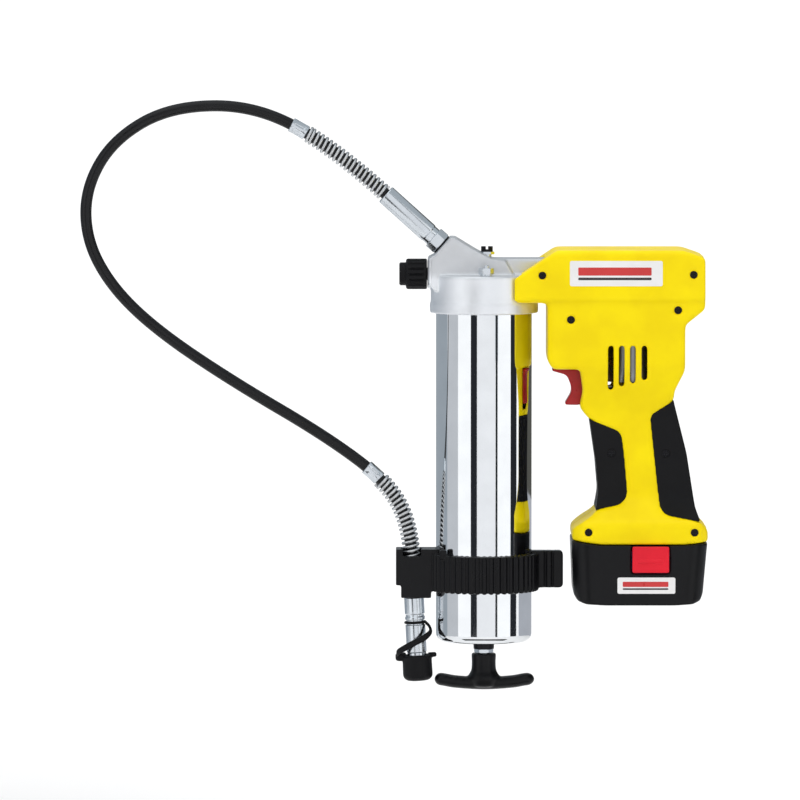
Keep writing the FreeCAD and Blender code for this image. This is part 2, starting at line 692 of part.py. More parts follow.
def make_follower():
    hole = size.rod_radius + size.rod_gap
    low = size.follower_low + size.plate_thick
    plate = new_body("follower_plate")
    revolve(plate, [(hole, size.follower_low), (size.plate_radius, size.follower_low),
                    (size.plate_radius, low), (hole, low)])
    cup = new_body("follower_cup")
    high = size.follower_high
    rim = size.follower_radius
    revolve(cup, [(hole, low), (rim - 1.0, low), (rim, high - 4.0), (rim, high),
                  (rim - 3.0, high), (rim - 6.0, high - 3.0), (hole, high - 3.0)])
    spring = coil(26.0, 1.2, SIZES["barrel_bottom"] + SIZES["barrel_wall"] + 1.6,
                  SIZES["follower_low"] - 1.5, 8)
    add_shape("follower_spring", spring)


def make_rod():
    rod = new_body("follower_rod")
    cylinder(rod, size.rod_radius, -151.0, size.rod_top - 2.5)
    retainer = new_body("rod_retainer")
    revolve(retainer, [(size.rod_radius, size.rod_top - 2.9), (7.5, size.rod_top - 2.9),
                       (7.5, size.rod_top - 0.6), (size.rod_radius, size.rod_top - 0.6)])
    bush = new_body("rod_bush")
    hole = size.rod_radius + size.rod_gap
    inside = size.barrel_bottom + size.barrel_wall
    revolve(bush, [(hole, size.bush_end), (6.8, size.bush_end), (6.8, size.barrel_bottom),
                   (size.bush_radius, size.barrel_bottom), (size.bush_radius, inside),
                   (12.0, inside), (12.0, inside + 2.5), (hole, inside + 2.5)])
    nut = new_body("rod_nut")
    hexagon(nut, size.rod_nut_corner, size.rod_nut_end, size.bush_end)
    cylinder(nut, hole, size.rod_nut_end - 1.0, size.bush_end + 1.0, cut=True)
    handle = new_body("t_handle")
    cylinder(handle, size.handle_stem, -163.0, size.handle_top)
    left, right = size.bar_left, size.bar_right
    top, low = size.bar_top, size.bar_low
    half = size.bar_half_depth
    pad(handle, "XZ", [(left, top), (left + 6.0, top + 0.8), (-13.0, top - 3.0),
                       (13.0, top - 3.0), (right - 6.0, top + 0.8), (right, top),
                       (right, top - 6.0), (20.0, low + 1.4), (0.0, low), (-20.0, low + 1.4),
                       (left, top - 6.0)], -half, half)
    cylinder(handle, size.rod_radius, -151.0, size.handle_top + 1.0, cut=True)
    round_edges(handle, 2.4, edges_along(Vector(0, 1, 0), lambda p: abs(p.x) > 30.0))


# ---------------------------------------------------------------- pistol housing

TOP = SIZES["housing_top"]
STEP = SIZES["step_height"]
BASE = SIZES["base_bottom"]
BLOCK = SIZES["block_half"]
BODY = SIZES["body_half"]
GRIP = SIZES["grip_half"]
FOOT = SIZES["base_half"]

# The foot's lower edge rises at its front and rear ends, and its plan has round corners.
BASE_RISE_FRONT = 2.6
BASE_RISE_REAR = 1.4
FOOT_FRONT = 57.15
FOOT_REAR = 147.25
FOOT_CORNER = 13.0

# Outline of the housing seen from its left side, each corner with its rounding.
HOUSING_OUTLINE = [
    (19.4, 88.6, 0.8), (19.4, 104.4, 2.0), (47.4, TOP, 6.0), (130.4, TOP, 9.0),
    (144.9, 118.4, 2.0), (145.0, 84.5, 3.5), (131.9, 74.0, 2.5), (131.9, 44.3, 8.0),
    (124.9, 30.0, 6.0), (124.7, 23.1, 4.0), (133.1, -10.3, 60.0), (138.7, -46.0, 14.0),
    (142.6, -56.6, 2.5), (147.1, -60.5, 3.0), (147.1, BASE + BASE_RISE_REAR, 0.5),
    (131.0, BASE, 40.0), (76.0, BASE, 40.0), (57.7, BASE + BASE_RISE_FRONT, 0.5),
    (57.3, -60.0, 3.0), (73.0, -49.2, 7.0), (75.0, -36.0, 20.0), (73.3, -16.0, 60.0),
    (69.4, 11.0, 5.0), (65.0, 16.5, 3.0), (62.5, 19.7, 1.5), (64.8, 30.0, 10.0), (62.8, 44.9, 0.8),
    (44.9, 44.9, 1.0), (41.2, 50.9, 3.0), (41.2, 88.6, 0.8),
]
# Outline of the housing seen from behind, on its left side, each corner with its rounding.
HOUSING_SIDE = [
    (-BLOCK, TOP, 3.5), (-BLOCK, STEP, 0.4), (-BODY, STEP - 0.4, 0.4), (-BODY, 48.0, 14.0),
    (-GRIP, 16.0, 24.0), (-GRIP, -40.0, 14.0), (-FOOT, -56.0, 4.0), (-FOOT, BASE - 2.0, 0),
    (FOOT, BASE - 2.0, 0), (FOOT, -56.0, 4.0), (GRIP, -40.0, 14.0), (GRIP, 16.0, 24.0),
    (BODY, 48.0, 14.0), (BODY, STEP - 0.4, 0.4), (BLOCK, STEP, 0.4), (BLOCK, TOP, 3.5),
]
FRONT_PAD = [
    (50.0, 19.6, 0), (90.2, 3.6, 8.0), (92.2, -12.0, 60.0), (94.9, -43.0, 9.0), (50.0, -52.8, 0),
]
REAR_PAD = [(150.0, 40.8, 0), (108.7, 14.4, 6.0), (115.5, -50.2, 9.0), (150.0, -56.4, 0)]
# Screw places (x, z) with the half depth of the wall there.
SCREWS = [
    (37.9, 106.9, BLOCK), (137.1, 107.4, BLOCK), (127.0, 84.0, BODY), (56.7, 77.7, BODY),
    (83.6, -10.6, GRIP), (119.4, -11.0, GRIP), (68.4, -61.8, FOOT), (137.9, -61.9, FOOT),
]
# Cooling slots (x, lower end); they share their width and upper end.
VENTS = [(83.0, 31.6), (90.1, 33.8), (97.5, 35.9), (104.9, 38.0)]
VENT_HALF = 1.65
VENT_TOP = 60.8


def housing_solid(inset):
    """The housing's closed outer form, or the same form set in by a wall."""
    outline = rounded_face(HOUSING_OUTLINE, seen_from_front)
    side = rounded_face(HOUSING_SIDE, seen_from_side)
    if inset:
        outline = outline.makeOffset2D(-inset, join=2)
        side = side.makeOffset2D(-inset, join=2)
    outline.translate(Vector(0, -60, 0))
    solid = outline.extrude(Vector(0, 120, 0)).common(side.extrude(Vector(200, 0, 0)))
    return solid.cut(foot_corners(inset))


def foot_corners(inset):
    """What the foot's round plan corners leave out of a square one."""
    y = FOOT + 0.15 - FOOT_CORNER
    corners = []
    for x, end in ((FOOT_FRONT + FOOT_CORNER, 50.0), (FOOT_REAR - FOOT_CORNER, 155.0)):
        for side in (-1, 1):
            square = block_between(min(x, end), max(x, end), min(side * y, side * 60),
                                   max(side * y, side * 60), -80, -44)
            corners.append(square.cut(upright(x, side * y, FOOT_CORNER - inset, -81, -43)))
    return corners


def left_of_split():
    """Everything on the left side of the housing's split plane, less a hair's gap."""
    return block_between(-50, 200, -60, -0.02, -120, 140)


def prism(corners, front, back):
    """A face of the XZ plane carried along Y."""
    face = rounded_face(corners, seen_from_front)
    face.translate(Vector(0, front, 0))
    return face.extrude(Vector(0, back - front, 0))


def upright(x, y, radius, low, high):
    """A round bar along Z."""
    return Part.makeCylinder(radius, high - low, Vector(x, y, low))


def across(x, z, radius, front, back):
    """A round bar along Y."""
    return Part.makeCylinder(radius, back - front, Vector(x, front, z), Vector(0, 1, 0))


def make_housing():
    outer = housing_solid(0)
    skin = outer.cut(housing_solid(SIZES["pad_thick"]))
    shell = outer.cut(housing_solid(SIZES["shell_wall"]))
    collar_gap = upright(0, 0, SIZES["collar_radius"] + 0.3, 70, SIZES["collar_high"] + 0.4)
    neck = SIZES["neck_half_depth"] + 0.4
    openings = [
        collar_gap,
        block_between(10, SIZES["case_left"] + 0.4, -neck, neck, SIZES["neck_low"] - 1,
                      SIZES["neck_high"] + 0.5),
        block_between(50, 72.6, -SIZES["slot_half"], SIZES["slot_half"], 16.4, 48.5),
        block_between(SIZES["tower_left"] - 1, SIZES["tower_right"] + 1,
                      -SIZES["tower_half"] - 1, SIZES["tower_half"] + 1, -80, -60),
    ]
    shell = shell.cut(openings)
    pads = []
    for corners in (FRONT_PAD, REAR_PAD):
        recess = skin.common(prism(corners, -60, 60))
        shell = shell.cut(recess)
        pads.append(recess.common(left_of_split()))
    bosses = []
    for x, z, half in SCREWS:
        reach = SIZES["neck_half_depth"] + 0.6 if x < SIZES["case_left"] else 0.0
        bosses.append(across(x, z, SIZES["screw_boss"], -half + 1.6, -reach))
        bosses.append(across(x, z, SIZES["screw_boss"], reach, half - 1.6))
    shell = shell.fuse(bosses)
    left = shell.common(left_of_split())
    right = shell.common(left_of_split().mirror(Vector(), Vector(0, 1, 0)))
    tools = []
    screws = []
    for x, z, half in SCREWS:
        seat = -half + 4.0
        reach = -SIZES["neck_half_depth"] - 0.8 if x < SIZES["case_left"] else 8.0
        tools.append(across(x, z, SIZES["screw_head"] + 0.1, -half - 1, seat))
        tools.append(across(x, z, SIZES["screw_shank"] + 0.1, seat - 1, reach + 0.2))
        head = across(x, z, SIZES["screw_head"], seat - 2.0, seat)
        slot_wide = block_between(x - 1.9, x + 1.9, seat - 2.5, seat - 1.2, z - 0.35, z + 0.35)
        slot_tall = block_between(x - 0.35, x + 0.35, seat - 2.5, seat - 1.2, z - 1.9, z + 1.9)
        shank = across(x, z, SIZES["screw_shank"], seat, reach)
        screws.append(head.cut([slot_wide, slot_tall]).fuse(shank))
    for x, low in VENTS:
        slot = rectangle(x - VENT_HALF, x + VENT_HALF, low, VENT_TOP)
        tools.append(prism([corner + (VENT_HALF - 0.05,) for corner in slot], -40, 40))
    grips = add_shape("grip_pads_left", Part.Compound([piece.cut(tools) for piece in pads]))
    mirrored("grip_pads_right", grips)
    add_shape("housing_left", left.cut(tools))
    add_shape("housing_right", right.cut(tools))
    add_shape("housing_screws", Part.Compound(screws))


def make_labels():
    half = SIZES["block_half"]
    plate = new_body("label_housing")
    box(plate, 55.9, 116.7, -half - SIZES["label_thick"], -half, 100.0, 116.6)
    round_edges(plate, 1.2, edges_along(Vector(0, 1, 0)))
    pack = new_body("label_battery")
    half = SIZES["pack_half"]
    box(pack, 87.3, 125.3, -half - SIZES["label_thick"], -half, -101.8, -91.1)
    round_edges(pack, 1.0, edges_along(Vector(0, 1, 0)))


# ---------------------------------------------------------------- pump drive

def make_gearbox():
    case = new_body("gearbox_case")
    wall = size.case_wall
    half = size.case_half
    left, right = size.case_left, size.case_right
    low, high = size.case_low, size.case_high
    box(case, left, right, -half, half, low, high - wall)
    round_edges(case, 4.0, edges_along(Vector(0, 0, 1)))
    box(case, left + wall, right - wall, wall - half, half - wall, low + wall, high, cut=True)
    cylinder(case, size.pump_bore + 0.3, left - 1.0, left + wall + 1.0, (0, size.pump_height),
             "X", cut=True)
    cylinder(case, size.bearing_outer, low - 1.0, low + wall + 1.0, (size.crank_x, 0), cut=True)
    pinion_x = size.crank_x + size.gear_tip + size.pinion_tip + size.tooth_gap
    cylinder(case, size.pinion_tip + 0.4, low - 1.0, low + wall + 1.0, (pinion_x, 0), cut=True)
    cover = new_body("gearbox_cover")
    box(cover, left, right, -half, half, high - wall, high)
    round_edges(cover, 4.0, edges_along(Vector(0, 0, 1)))
    bearing = new_body("crank_bearing")
    revolve(bearing, [(size.crank_shaft + size.rod_gap, low), (size.bearing_outer, low),
                      (size.bearing_outer, low + wall), (size.crank_shaft + size.rod_gap,
                                                         low + wall)])
    bearing.Placement.Base = Vector(SIZES["crank_x"], 0, 0)


def toothed_wheel(label, root, tip, teeth, low, high, bore, place):
    """A spur wheel with straight-sided teeth, turned about Z."""
    wheel = new_body(label)
    cylinder(wheel, root, low, high)
    foot = 0.55 * math.pi * float(root) / teeth
    crest = 0.28 * math.pi * float(tip) / teeth
    tooth = pad(wheel, "XY", [(root - 0.6, -foot), (tip - 0.05, -crest), (tip - 0.05, crest),
                              (root - 0.6, foot)], low, high)
    pattern_round(wheel, tooth, teeth)
    cylinder(wheel, bore, low - 1.0, high + 1.0, cut=True)
    wheel.Placement.Base = Vector(place, 0, 0)
    return wheel


def make_drive():
    pinion_x = (SIZES["crank_x"] + SIZES["gear_tip"] + SIZES["pinion_tip"]
                + SIZES["tooth_gap"])
    toothed_wheel("reduction_gear", size.gear_root, size.gear_tip, 32, size.gear_low,
                  size.gear_high, size.crank_shaft, SIZES["crank_x"])
    toothed_wheel("motor_pinion", size.pinion_root, size.pinion_tip, 8, size.gear_low - 1.0,
                  size.gear_high, 1.6, pinion_x)
    crank = new_body("crank_shaft")
    high = size.gear_high
    cylinder(crank, size.crank_shaft, 79.0, high)
    cylinder(crank, 10.0, high, high + 3.5)
    cylinder(crank, size.crank_pin, high + 3.0, size.yoke_low - 0.6, (0, size.crank_throw))
    crank.Placement.Base = Vector(SIZES["crank_x"], 0, 0)
    yoke = new_body("pump_yoke")
    half = size.yoke_half
    box(yoke, -half, half, -half, half, size.yoke_low, size.yoke_high)
    box(yoke, -3.0, 3.0, -9.5, 9.5, size.yoke_low - 1.0, size.yoke_high + 1.0, cut=True)
    yoke.Placement.Base = Vector(SIZES["crank_x"], 0, 0)
    plunger = new_body("pump_plunger")
    cylinder(plunger, size.plunger_radius, size.plunger_tip, size.crank_x - half,
             (0, size.pump_height), "X")
    motor = new_body("motor_can")
    low, high = size.motor_low, size.motor_high
    can = size.motor_radius
    hole = 1.6 + size.rod_gap.value
    revolve(motor, [(hole, low), (can, low), (can, high), (hole, high), (hole, high - 1.5),
                    (can - 1.5, high - 1.5), (can - 1.5, low + 1.5), (hole, low + 1.5)])
    rotor = new_body("motor_armature")
    revolve(rotor, [(0, low - 3.0), (1.6, low - 3.0), (1.6, low + 4.0), (15.5, low + 4.0),
                    (15.5, high - 5.0), (1.6, high - 5.0), (1.6, size.gear_high),
                    (0, size.gear_high)])
    for part in (motor, rotor):
        part.Placement.Base = Vector(pinion_x, 0, 0)


# ---------------------------------------------------------------- trigger and switch

TRIGGER_OUTLINE = [
    (44.4, 44.3, 0.5), (45.2, 42.6, 0.5), (54.6, 40.0, 5.0), (58.4, 30.0, 9.0),
    (52.6, 20.4, 1.0), (62.4, 20.2, 3.0), (69.4, 25.0, 4.0), (72.0, 36.0, 4.0),
    (72.0, 44.3, 2.0),
]


def make_trigger():
    half = SIZES["trigger_half"]
    blade = prism(TRIGGER_OUTLINE, -half, half)
    x, z = SIZES["pivot_x"], SIZES["pivot_z"]
    blade = blade.cut(across(x, z, SIZES["pivot_radius"] + SIZES["rod_gap"], -20, 20))
    add_shape("trigger", blade)
    reach = SIZES["body_half"] - SIZES["shell_wall"] - 4.0
    add_shape("trigger_pin", across(x, z, SIZES["pivot_radius"], -reach, reach))
    switch = new_body("switch_body")
    side = size.switch_half
    box(switch, 76.2, 96.0, -side, side, 8.0, 32.0)
    round_edges(switch, 1.5, edges_along(Vector(0, 1, 0)))
    terminals = new_body("terminal_block")
    box(terminals, 93.0, 111.0, -10.0, 10.0, -39.0, -32.0)
    round_edges(terminals, 1.0, edges_along(Vector(0, 0, 1)))


# ---------------------------------------------------------------- battery

def make_battery():
    case = new_body("battery_case")
    half = size.pack_half
    top, low = size.pack_top, size.pack_bottom
    wall = size.pack_wall
    pad(case, "XZ", [(57.2, top + BASE_RISE_FRONT), (58.6, low + 7.0), (61.4, low + 2.6),
                     (67.0, low + 0.6), (80.0, low), (124.0, low), (137.0, low + 0.6),
                     (141.8, low + 2.6), (143.8, low + 7.0), (146.8, top + BASE_RISE_REAR),
                     (131.0, top), (76.0, top)], -half, half)
    round_edges(case, SIZES["pack_corner"],
                edges_along(Vector(0, 0, 1), lambda p: abs(p.y) > 36 and p.z > -100))
    for step in (0.0, 6.0):
        inside = half - wall - 6.4 + step
        box(case, 62.4 + step, 141.6 - step, -inside, inside, low + wall + 0.8, top + 4.0,
            cut=True)
    wide = 0.3
    for front, back in ((-45.0, -30.0), (30.0, 45.0)):
        box(case, size.button_left - wide, size.button_right + wide, front, back,
            size.button_low - wide, top + 1.0, cut=True)
    cover = new_body("battery_cover")
    box(cover, 62.6, 141.4, -26.8, 26.8, top - 2.2, top)
    box(cover, 68.6, 135.4, -32.8, 32.8, top - 2.2, top)
    tower = size.tower_half
    box(cover, size.tower_left, size.tower_right, -tower, tower, top - 2.2, size.tower_high)
    round_edges(cover, 2.0, edges_along(Vector(0, 0, 1), lambda p: p.z > -70))
    cylinder(cover, size.cell_radius + 0.2, top - 3.0, size.tower_high - 1.5,
             (size.pack_middle, 0), cut=True)
    cells = []
    pitch = SIZES["cell_pitch"]
    low, high = SIZES["cell_low"], SIZES["cell_high"]
    middle = SIZES["pack_middle"]
    for column in (-1, 0, 1):
        for row in (-1, 0, 1):
            cells.append(upright(middle + column * pitch, row * pitch, SIZES["cell_radius"],
                                 low, high))
    cells.append(upright(middle, 0, SIZES["cell_radius"], high + 0.4, high + 30.5))
    add_shape("battery_cells", Part.Compound(cells))
    contacts = []
    for place in (-6.0, 0.0, 6.0):
        contacts.append(block_between(middle + place - 1.2, middle + place + 1.2, -4.0, 4.0,
                                      SIZES["tower_high"], SIZES["tower_high"] + 1.6))
    add_shape("battery_contacts", Part.Compound(contacts))
    button = new_body("release_button_left")
    box(button, size.button_left, size.button_right, -size.button_face, -size.button_back,
        size.button_low, size.button_high)
    round_edges(button, 1.0, edges_along(Vector(0, 1, 0)))
    ridge = box(button, size.button_left + 4.0, size.button_right - 4.0,
                -size.button_face - 0.6, -size.button_face, size.button_low + 6.5,
                size.button_low + 8.5)
    button.Tip = ridge
    mirrored("release_button_right", button)


def check_and_write():
    """Stop on any failed object, then write each sub-part to its own file."""
    document.recompute()
    for item in document.Objects:
        if "Invalid" in item.State or "Error" in item.State:
            raise RuntimeError("%s failed: %s" % (item.Name, item.State))
    for node in nodes:
        shape = node.Shape
        if shape.isNull() or not shape.isValid() or shape.Volume <= 0:
            raise RuntimeError("%s has a bad shape" % node.Label)
        shape.exportStep("parts/%s.step" % node.Label)
        bounds = shape.BoundBox
        print("%-22s %9.0f mm3  %d solids  x %.1f..%.1f y %.1f..%.1f z %.1f..%.1f" % (
            node.Label, shape.Volume, len(shape.Solids), bounds.XMin, bounds.XMax,
            bounds.YMin, bounds.YMax, bounds.ZMin, bounds.ZMax))
    print("%d sub-parts" % len(nodes))


make_sheet()
make_barrel()
make_pump_head()
make_head_valves()
make_filler_cap()
make_outlet()
make_hose()
make_coupler()
make_dust_cap()
make_cap_strap()
make_clip()
make_follower()
make_rod()
make_housing()
make_labels()
make_gearbox()
make_drive()
make_trigger()
make_battery()
check_and_write()
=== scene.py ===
import math

import bmesh
import bpy
import numpy as np
from mathutils import Matrix, Vector


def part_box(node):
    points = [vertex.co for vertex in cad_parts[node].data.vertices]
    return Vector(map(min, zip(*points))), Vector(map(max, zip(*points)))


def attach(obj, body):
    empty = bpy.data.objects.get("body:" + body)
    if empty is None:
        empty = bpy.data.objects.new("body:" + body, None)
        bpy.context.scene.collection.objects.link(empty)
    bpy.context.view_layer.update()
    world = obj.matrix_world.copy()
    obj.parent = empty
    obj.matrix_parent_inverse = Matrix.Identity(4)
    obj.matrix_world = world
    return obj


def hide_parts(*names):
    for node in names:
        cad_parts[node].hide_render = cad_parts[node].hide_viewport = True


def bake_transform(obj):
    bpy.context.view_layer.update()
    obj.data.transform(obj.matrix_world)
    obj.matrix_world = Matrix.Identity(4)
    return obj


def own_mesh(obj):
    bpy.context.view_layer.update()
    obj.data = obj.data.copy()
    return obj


# Cordless grease gun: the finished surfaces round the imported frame. Shapes are worked out in
# millimetres and scaled to metres as they become meshes.

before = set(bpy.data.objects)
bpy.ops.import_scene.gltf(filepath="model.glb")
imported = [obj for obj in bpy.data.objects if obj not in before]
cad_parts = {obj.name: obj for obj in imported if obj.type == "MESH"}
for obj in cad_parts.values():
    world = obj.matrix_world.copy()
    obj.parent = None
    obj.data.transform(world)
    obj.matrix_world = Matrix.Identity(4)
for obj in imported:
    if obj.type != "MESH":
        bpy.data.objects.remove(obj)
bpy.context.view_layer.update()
scene = bpy.context.scene
MM = 0.001

# Axis of the outlet on the pump head, and of the grease coupler at the hose's far end.
OUTLET = Matrix.Translation((-27.5, 0, 125.4)) @ Matrix.Rotation(math.radians(-48), 4, "Y")
HOSE_END = Vector((-47.3, 0, -84.0))
COUPLER_TILT = math.atan2(1.2, -24.0)
COUPLER = Matrix.Translation(HOSE_END) @ Matrix.Rotation(COUPLER_TILT, 4, "Y")

# The hose's route in millimetres, from the stem on the pump head to the fitting in the clip.
HOSE_ROUTE = [
    (-64.9, 0, 159.1),
    (-98.0, 0, 188.9),
    (-149.5, 0, 217.5),
    (-206.0, 0, 217.0),
    (-243.9, 0, 195.2),
    (-262.5, 0, 163.2),
    (-262.2, 0, 129.2),
    (-245.6, 0, 97.9),
    (-215.4, 0, 68.8),
    (-165.2, 0, 35.0),
    (-104.0, 0, -1.0),
    (-64.0, 0, -31.0),
    (-48.5, 0, -60.0),
    (-47.3, 0, -84.0),
]
HOSE_RADIUS = 3.75


# ---------------------------------------------------------------- materials

class Finish:
    """A material round one Principled shader, with short calls for its texture nodes."""

    def __init__(self, name, colour, roughness, metallic=0.0, **sockets):
        self.material = bpy.data.materials.new(name)
        self.material.use_nodes = True
        self.nodes = self.material.node_tree.nodes
        self.links = self.material.node_tree.links
        self.shader = self.nodes["Principled BSDF"]
        self.colour = colour
        self.roughness = roughness
        self.shader.inputs["Base Color"].default_value = (*colour, 1)
        self.shader.inputs["Roughness"].default_value = roughness
        self.shader.inputs["Metallic"].default_value = metallic
        for socket, value in sockets.items():
            self.shader.inputs[socket.replace("_", " ")].default_value = value
        self.place = self.nodes.new("ShaderNodeTexCoord").outputs["Object"]

    def stretched(self, scale):
        """The place on the piece, squeezed or drawn out along each axis."""
        mapping = self.nodes.new("ShaderNodeMapping")
        mapping.inputs["Scale"].default_value = scale
        self.links.new(self.place, mapping.inputs["Vector"])
        return mapping.outputs["Vector"]

    def noise(self, scale, detail=3.0, place=None):
        """A cloudy pattern from 0 to 1; scale counts its blobs per metre."""
        noise = self.nodes.new("ShaderNodeTexNoise")
        noise.inputs["Scale"].default_value = scale
        noise.inputs["Detail"].default_value = detail
        self.links.new(place or self.place, noise.inputs["Vector"])
        return noise.outputs["Fac"]

    def height(self):
        """The height of the place on the piece, in metres."""
        parts = self.nodes.new("ShaderNodeSeparateXYZ")
        self.links.new(self.place, parts.inputs["Vector"])
        return parts.outputs["Z"]

    def total(self, one, other):
        """The sum of two patterns."""
        node = self.nodes.new("ShaderNodeMath")
        self.links.new(one, node.inputs[0])
        self.links.new(other, node.inputs[1])
        return node.outputs["Value"]

    def ranged(self, value, low, high, low_to, high_to):
        """Map a pattern's range onto another, clamped at both ends."""
        node = self.nodes.new("ShaderNodeMapRange")
        for socket, number in zip(("From Min", "From Max", "To Min", "To Max"),
                                  (low, high, low_to, high_to)):
            node.inputs[socket].default_value = number
        self.links.new(value, node.inputs["Value"])
        return node.outputs["Result"]

    def vary_colour(self, value, dark, light):
        """Shade the colour from one multiple of itself to another as the pattern goes 0 to 1."""
        mix = self.nodes.new("ShaderNodeMix")
        mix.data_type = "RGBA"
        mix.inputs["A"].default_value = (*[min(c * dark, 1) for c in self.colour], 1)
        mix.inputs["B"].default_value = (*[min(c * light, 1) for c in self.colour], 1)
        self.links.new(value, mix.inputs["Factor"])
        self.links.new(mix.outputs["Result"], self.shader.inputs["Base Color"])
        return self

    def vary_roughness(self, value, spread):
        """Let the roughness wander by a spread as the pattern goes 0 to 1."""
        result = self.ranged(value, 0.3, 0.7, self.roughness - spread, self.roughness + spread)
        self.links.new(result, self.shader.inputs["Roughness"])
        return self

    def bump(self, value, depth, strength=1.0):
        """Raise the surface by a pattern; depth is in metres."""
        bump = self.nodes.new("ShaderNodeBump")
        bump.inputs["Strength"].default_value = strength
        bump.inputs["Distance"].default_value = depth
        self.links.new(value, bump.inputs["Height"])
        self.links.new(bump.outputs["Normal"], self.shader.inputs["Normal"])
        return self


def moulded(name, colour, roughness, grain, depth, **sockets):
    """Moulded plastic or rubber: a spark-eroded grain with faint cloudy variation."""
    finish = Finish(name, colour, roughness, **sockets)
    cloud = finish.noise(38.0, 4.0)
    finish.vary_colour(finish.ranged(cloud, 0.35, 0.65, 0, 1), 0.93, 1.05)
    finish.vary_roughness(finish.noise(160.0), 0.05)
    finish.bump(finish.noise(grain, 2.0), depth)
    return finish.material


def turned(name, colour, roughness):
    """Machined metal: fine marks of the tool and a little smearing of the plating."""
    finish = Finish(name, colour, roughness, metallic=1.0)
    finish.vary_colour(finish.ranged(finish.noise(90.0, 4.0), 0.3, 0.7, 0, 1), 0.93, 1.05)
    finish.vary_roughness(finish.noise(120.0), 0.04)
    finish.bump(finish.noise(1500.0, 2.0), 0.00001)
    return finish.material


def cast_metal():
    """Aluminium casting, darker above the collar: painted shade for the head's darker reflection,
    on top of a collar cut bright on the lathe against the duller as-cast head.
    """
    finish = Finish("cast_aluminium", (0.91, 0.93, 0.96), 0.42, metallic=0.8)
    cloud = finish.ranged(finish.noise(55.0, 5.0), 0.3, 0.7, 0, 0.25)
    # Painted shade: the colour darkens above the collar's top, partly for the head's darker
    # reflection and partly for its as-cast finish.
    machining_and_head_shade = finish.ranged(finish.height(), 0.1035, 0.1085, 0.75, 0)
    finish.vary_colour(finish.total(cloud, machining_and_head_shade), 0.70, 1.04)
    finish.vary_roughness(finish.noise(300.0), 0.06)
    finish.bump(finish.noise(2200.0, 3.0), 0.00006)
    return finish.material


def chrome():
    """Bright chromed tube with the faint long streaks of drawing."""
    finish = Finish("chrome_tube", (0.86, 0.88, 0.90), 0.035, metallic=1.0)
    streaks = finish.noise(260.0, 2.0, finish.stretched((1.0, 1.0, 0.02)))
    result = finish.ranged(streaks, 0.3, 0.75, 0.02, 0.07)
    finish.links.new(result, finish.shader.inputs["Roughness"])
    cloud = finish.ranged(finish.noise(60.0, 4.0), 0.35, 0.65, 0, 1)
    finish.vary_colour(cloud, 0.97, 1.03)
    finish.bump(finish.noise(18.0, 1.0, finish.stretched((1.0, 1.0, 0.15))), 0.00002, 0.6)
    return finish.material


def hose_cover():
    """Smooth thermoplastic hose cover with a faint cloudy tone and a fine grain."""
    finish = Finish("hose_rubber", (0.004, 0.004, 0.005), 0.3, Specular_IOR_Level=0.3)
    finish.vary_colour(finish.ranged(finish.noise(70.0, 4.0), 0.3, 0.7, 0, 1), 0.8, 1.5)
    finish.vary_roughness(finish.noise(240.0), 0.07)
    finish.bump(finish.noise(1800.0, 2.0), 0.00005)
    return finish.material


def label_film():
    """Glossy white vinyl with a slightly yellowed tone."""
    finish = Finish("label_film", (0.86, 0.85, 0.84), 0.3)
    finish.vary_colour(finish.ranged(finish.noise(80.0, 3.0), 0.3, 0.7, 0, 1), 0.97, 1.02)
    finish.bump(finish.noise(700.0, 2.0), 0.00002)
    return finish.material


FINISH = {
    "cast_aluminium": cast_metal(),
    "chrome_tube": chrome(),
    "zinc_steel": turned("zinc_steel", (0.70, 0.74, 0.78), 0.20),
    "dark_steel": turned("dark_steel", (0.022, 0.022, 0.024), 0.34),
    "spring_steel": turned("spring_steel", (0.68, 0.69, 0.70), 0.34),
    "hose_rubber": hose_cover(),
    "black_rubber": moulded("black_rubber", (0.006, 0.006, 0.007), 0.5, 1900.0, 0.00007,
                            Specular_IOR_Level=0.15),
    "black_plastic": moulded("black_plastic", (0.004, 0.004, 0.005), 0.32, 2400.0, 0.00004,
                             Specular_IOR_Level=0.2),
    "yellow_plastic": moulded("yellow_plastic", (0.99, 0.745, 0.0), 0.36, 2600.0, 0.00003,
                              Specular_IOR_Level=0.14),
    "label_film": label_film(),
    "brass_bush": turned("brass_bush", (0.72, 0.50, 0.21), 0.3),
    # Motor steel is dark grey: partly painted shade for the dim inside of the housing seen
    # through the vents.
    "motor_steel": turned("motor_steel", (0.30, 0.31, 0.33), 0.3),
    "gear_steel": turned("gear_steel", (0.42, 0.43, 0.45), 0.33),
    "trigger_red": moulded("trigger_red", (0.43, 0.012, 0.014), 0.32, 2400.0, 0.00003,
                           Specular_IOR_Level=0.35),
    "button_red": moulded("button_red", (0.78, 0.012, 0.030), 0.38, 2400.0, 0.00003,
                          Specular_IOR_Level=0.2),
    "cell_jacket": moulded("cell_jacket", (0.05, 0.16, 0.36), 0.42, 1200.0, 0.00002),
}
PRINT = {
    "red": moulded("print_red", (0.62, 0.03, 0.03), 0.32, 900.0, 0.00001),
    "dark": moulded("print_dark", (0.03, 0.028, 0.03), 0.34, 900.0, 0.00001),
}


# ---------------------------------------------------------------- building meshes

ARC_STEP = math.radians(12)


def rounded_outline(corners):
    """Points of a closed outline whose corners are (across, up, radius), rounded so."""
    points = []
    for i, (across, up, radius) in enumerate(corners):
        here = Vector((across, up))
        if radius == 0:
            points.append(here)
            continue
        inward = (Vector(corners[i - 1][:2]) - here).normalized()
        outward = (Vector(corners[(i + 1) % len(corners)][:2]) - here).normalized()
        half = inward.angle(outward) / 2
        cut = radius / math.tan(half)
        centre = here + (inward + outward).normalized() * (radius / math.sin(half))
        start = here + inward * cut - centre
        steps = max(2, round((math.pi - 2 * half) / ARC_STEP))
        turn = start.angle_signed(here + outward * cut - centre)
        for step in range(steps + 1):
            angle = -turn * step / steps
            points.append(centre + Matrix.Rotation(angle, 2) @ start)
    return points


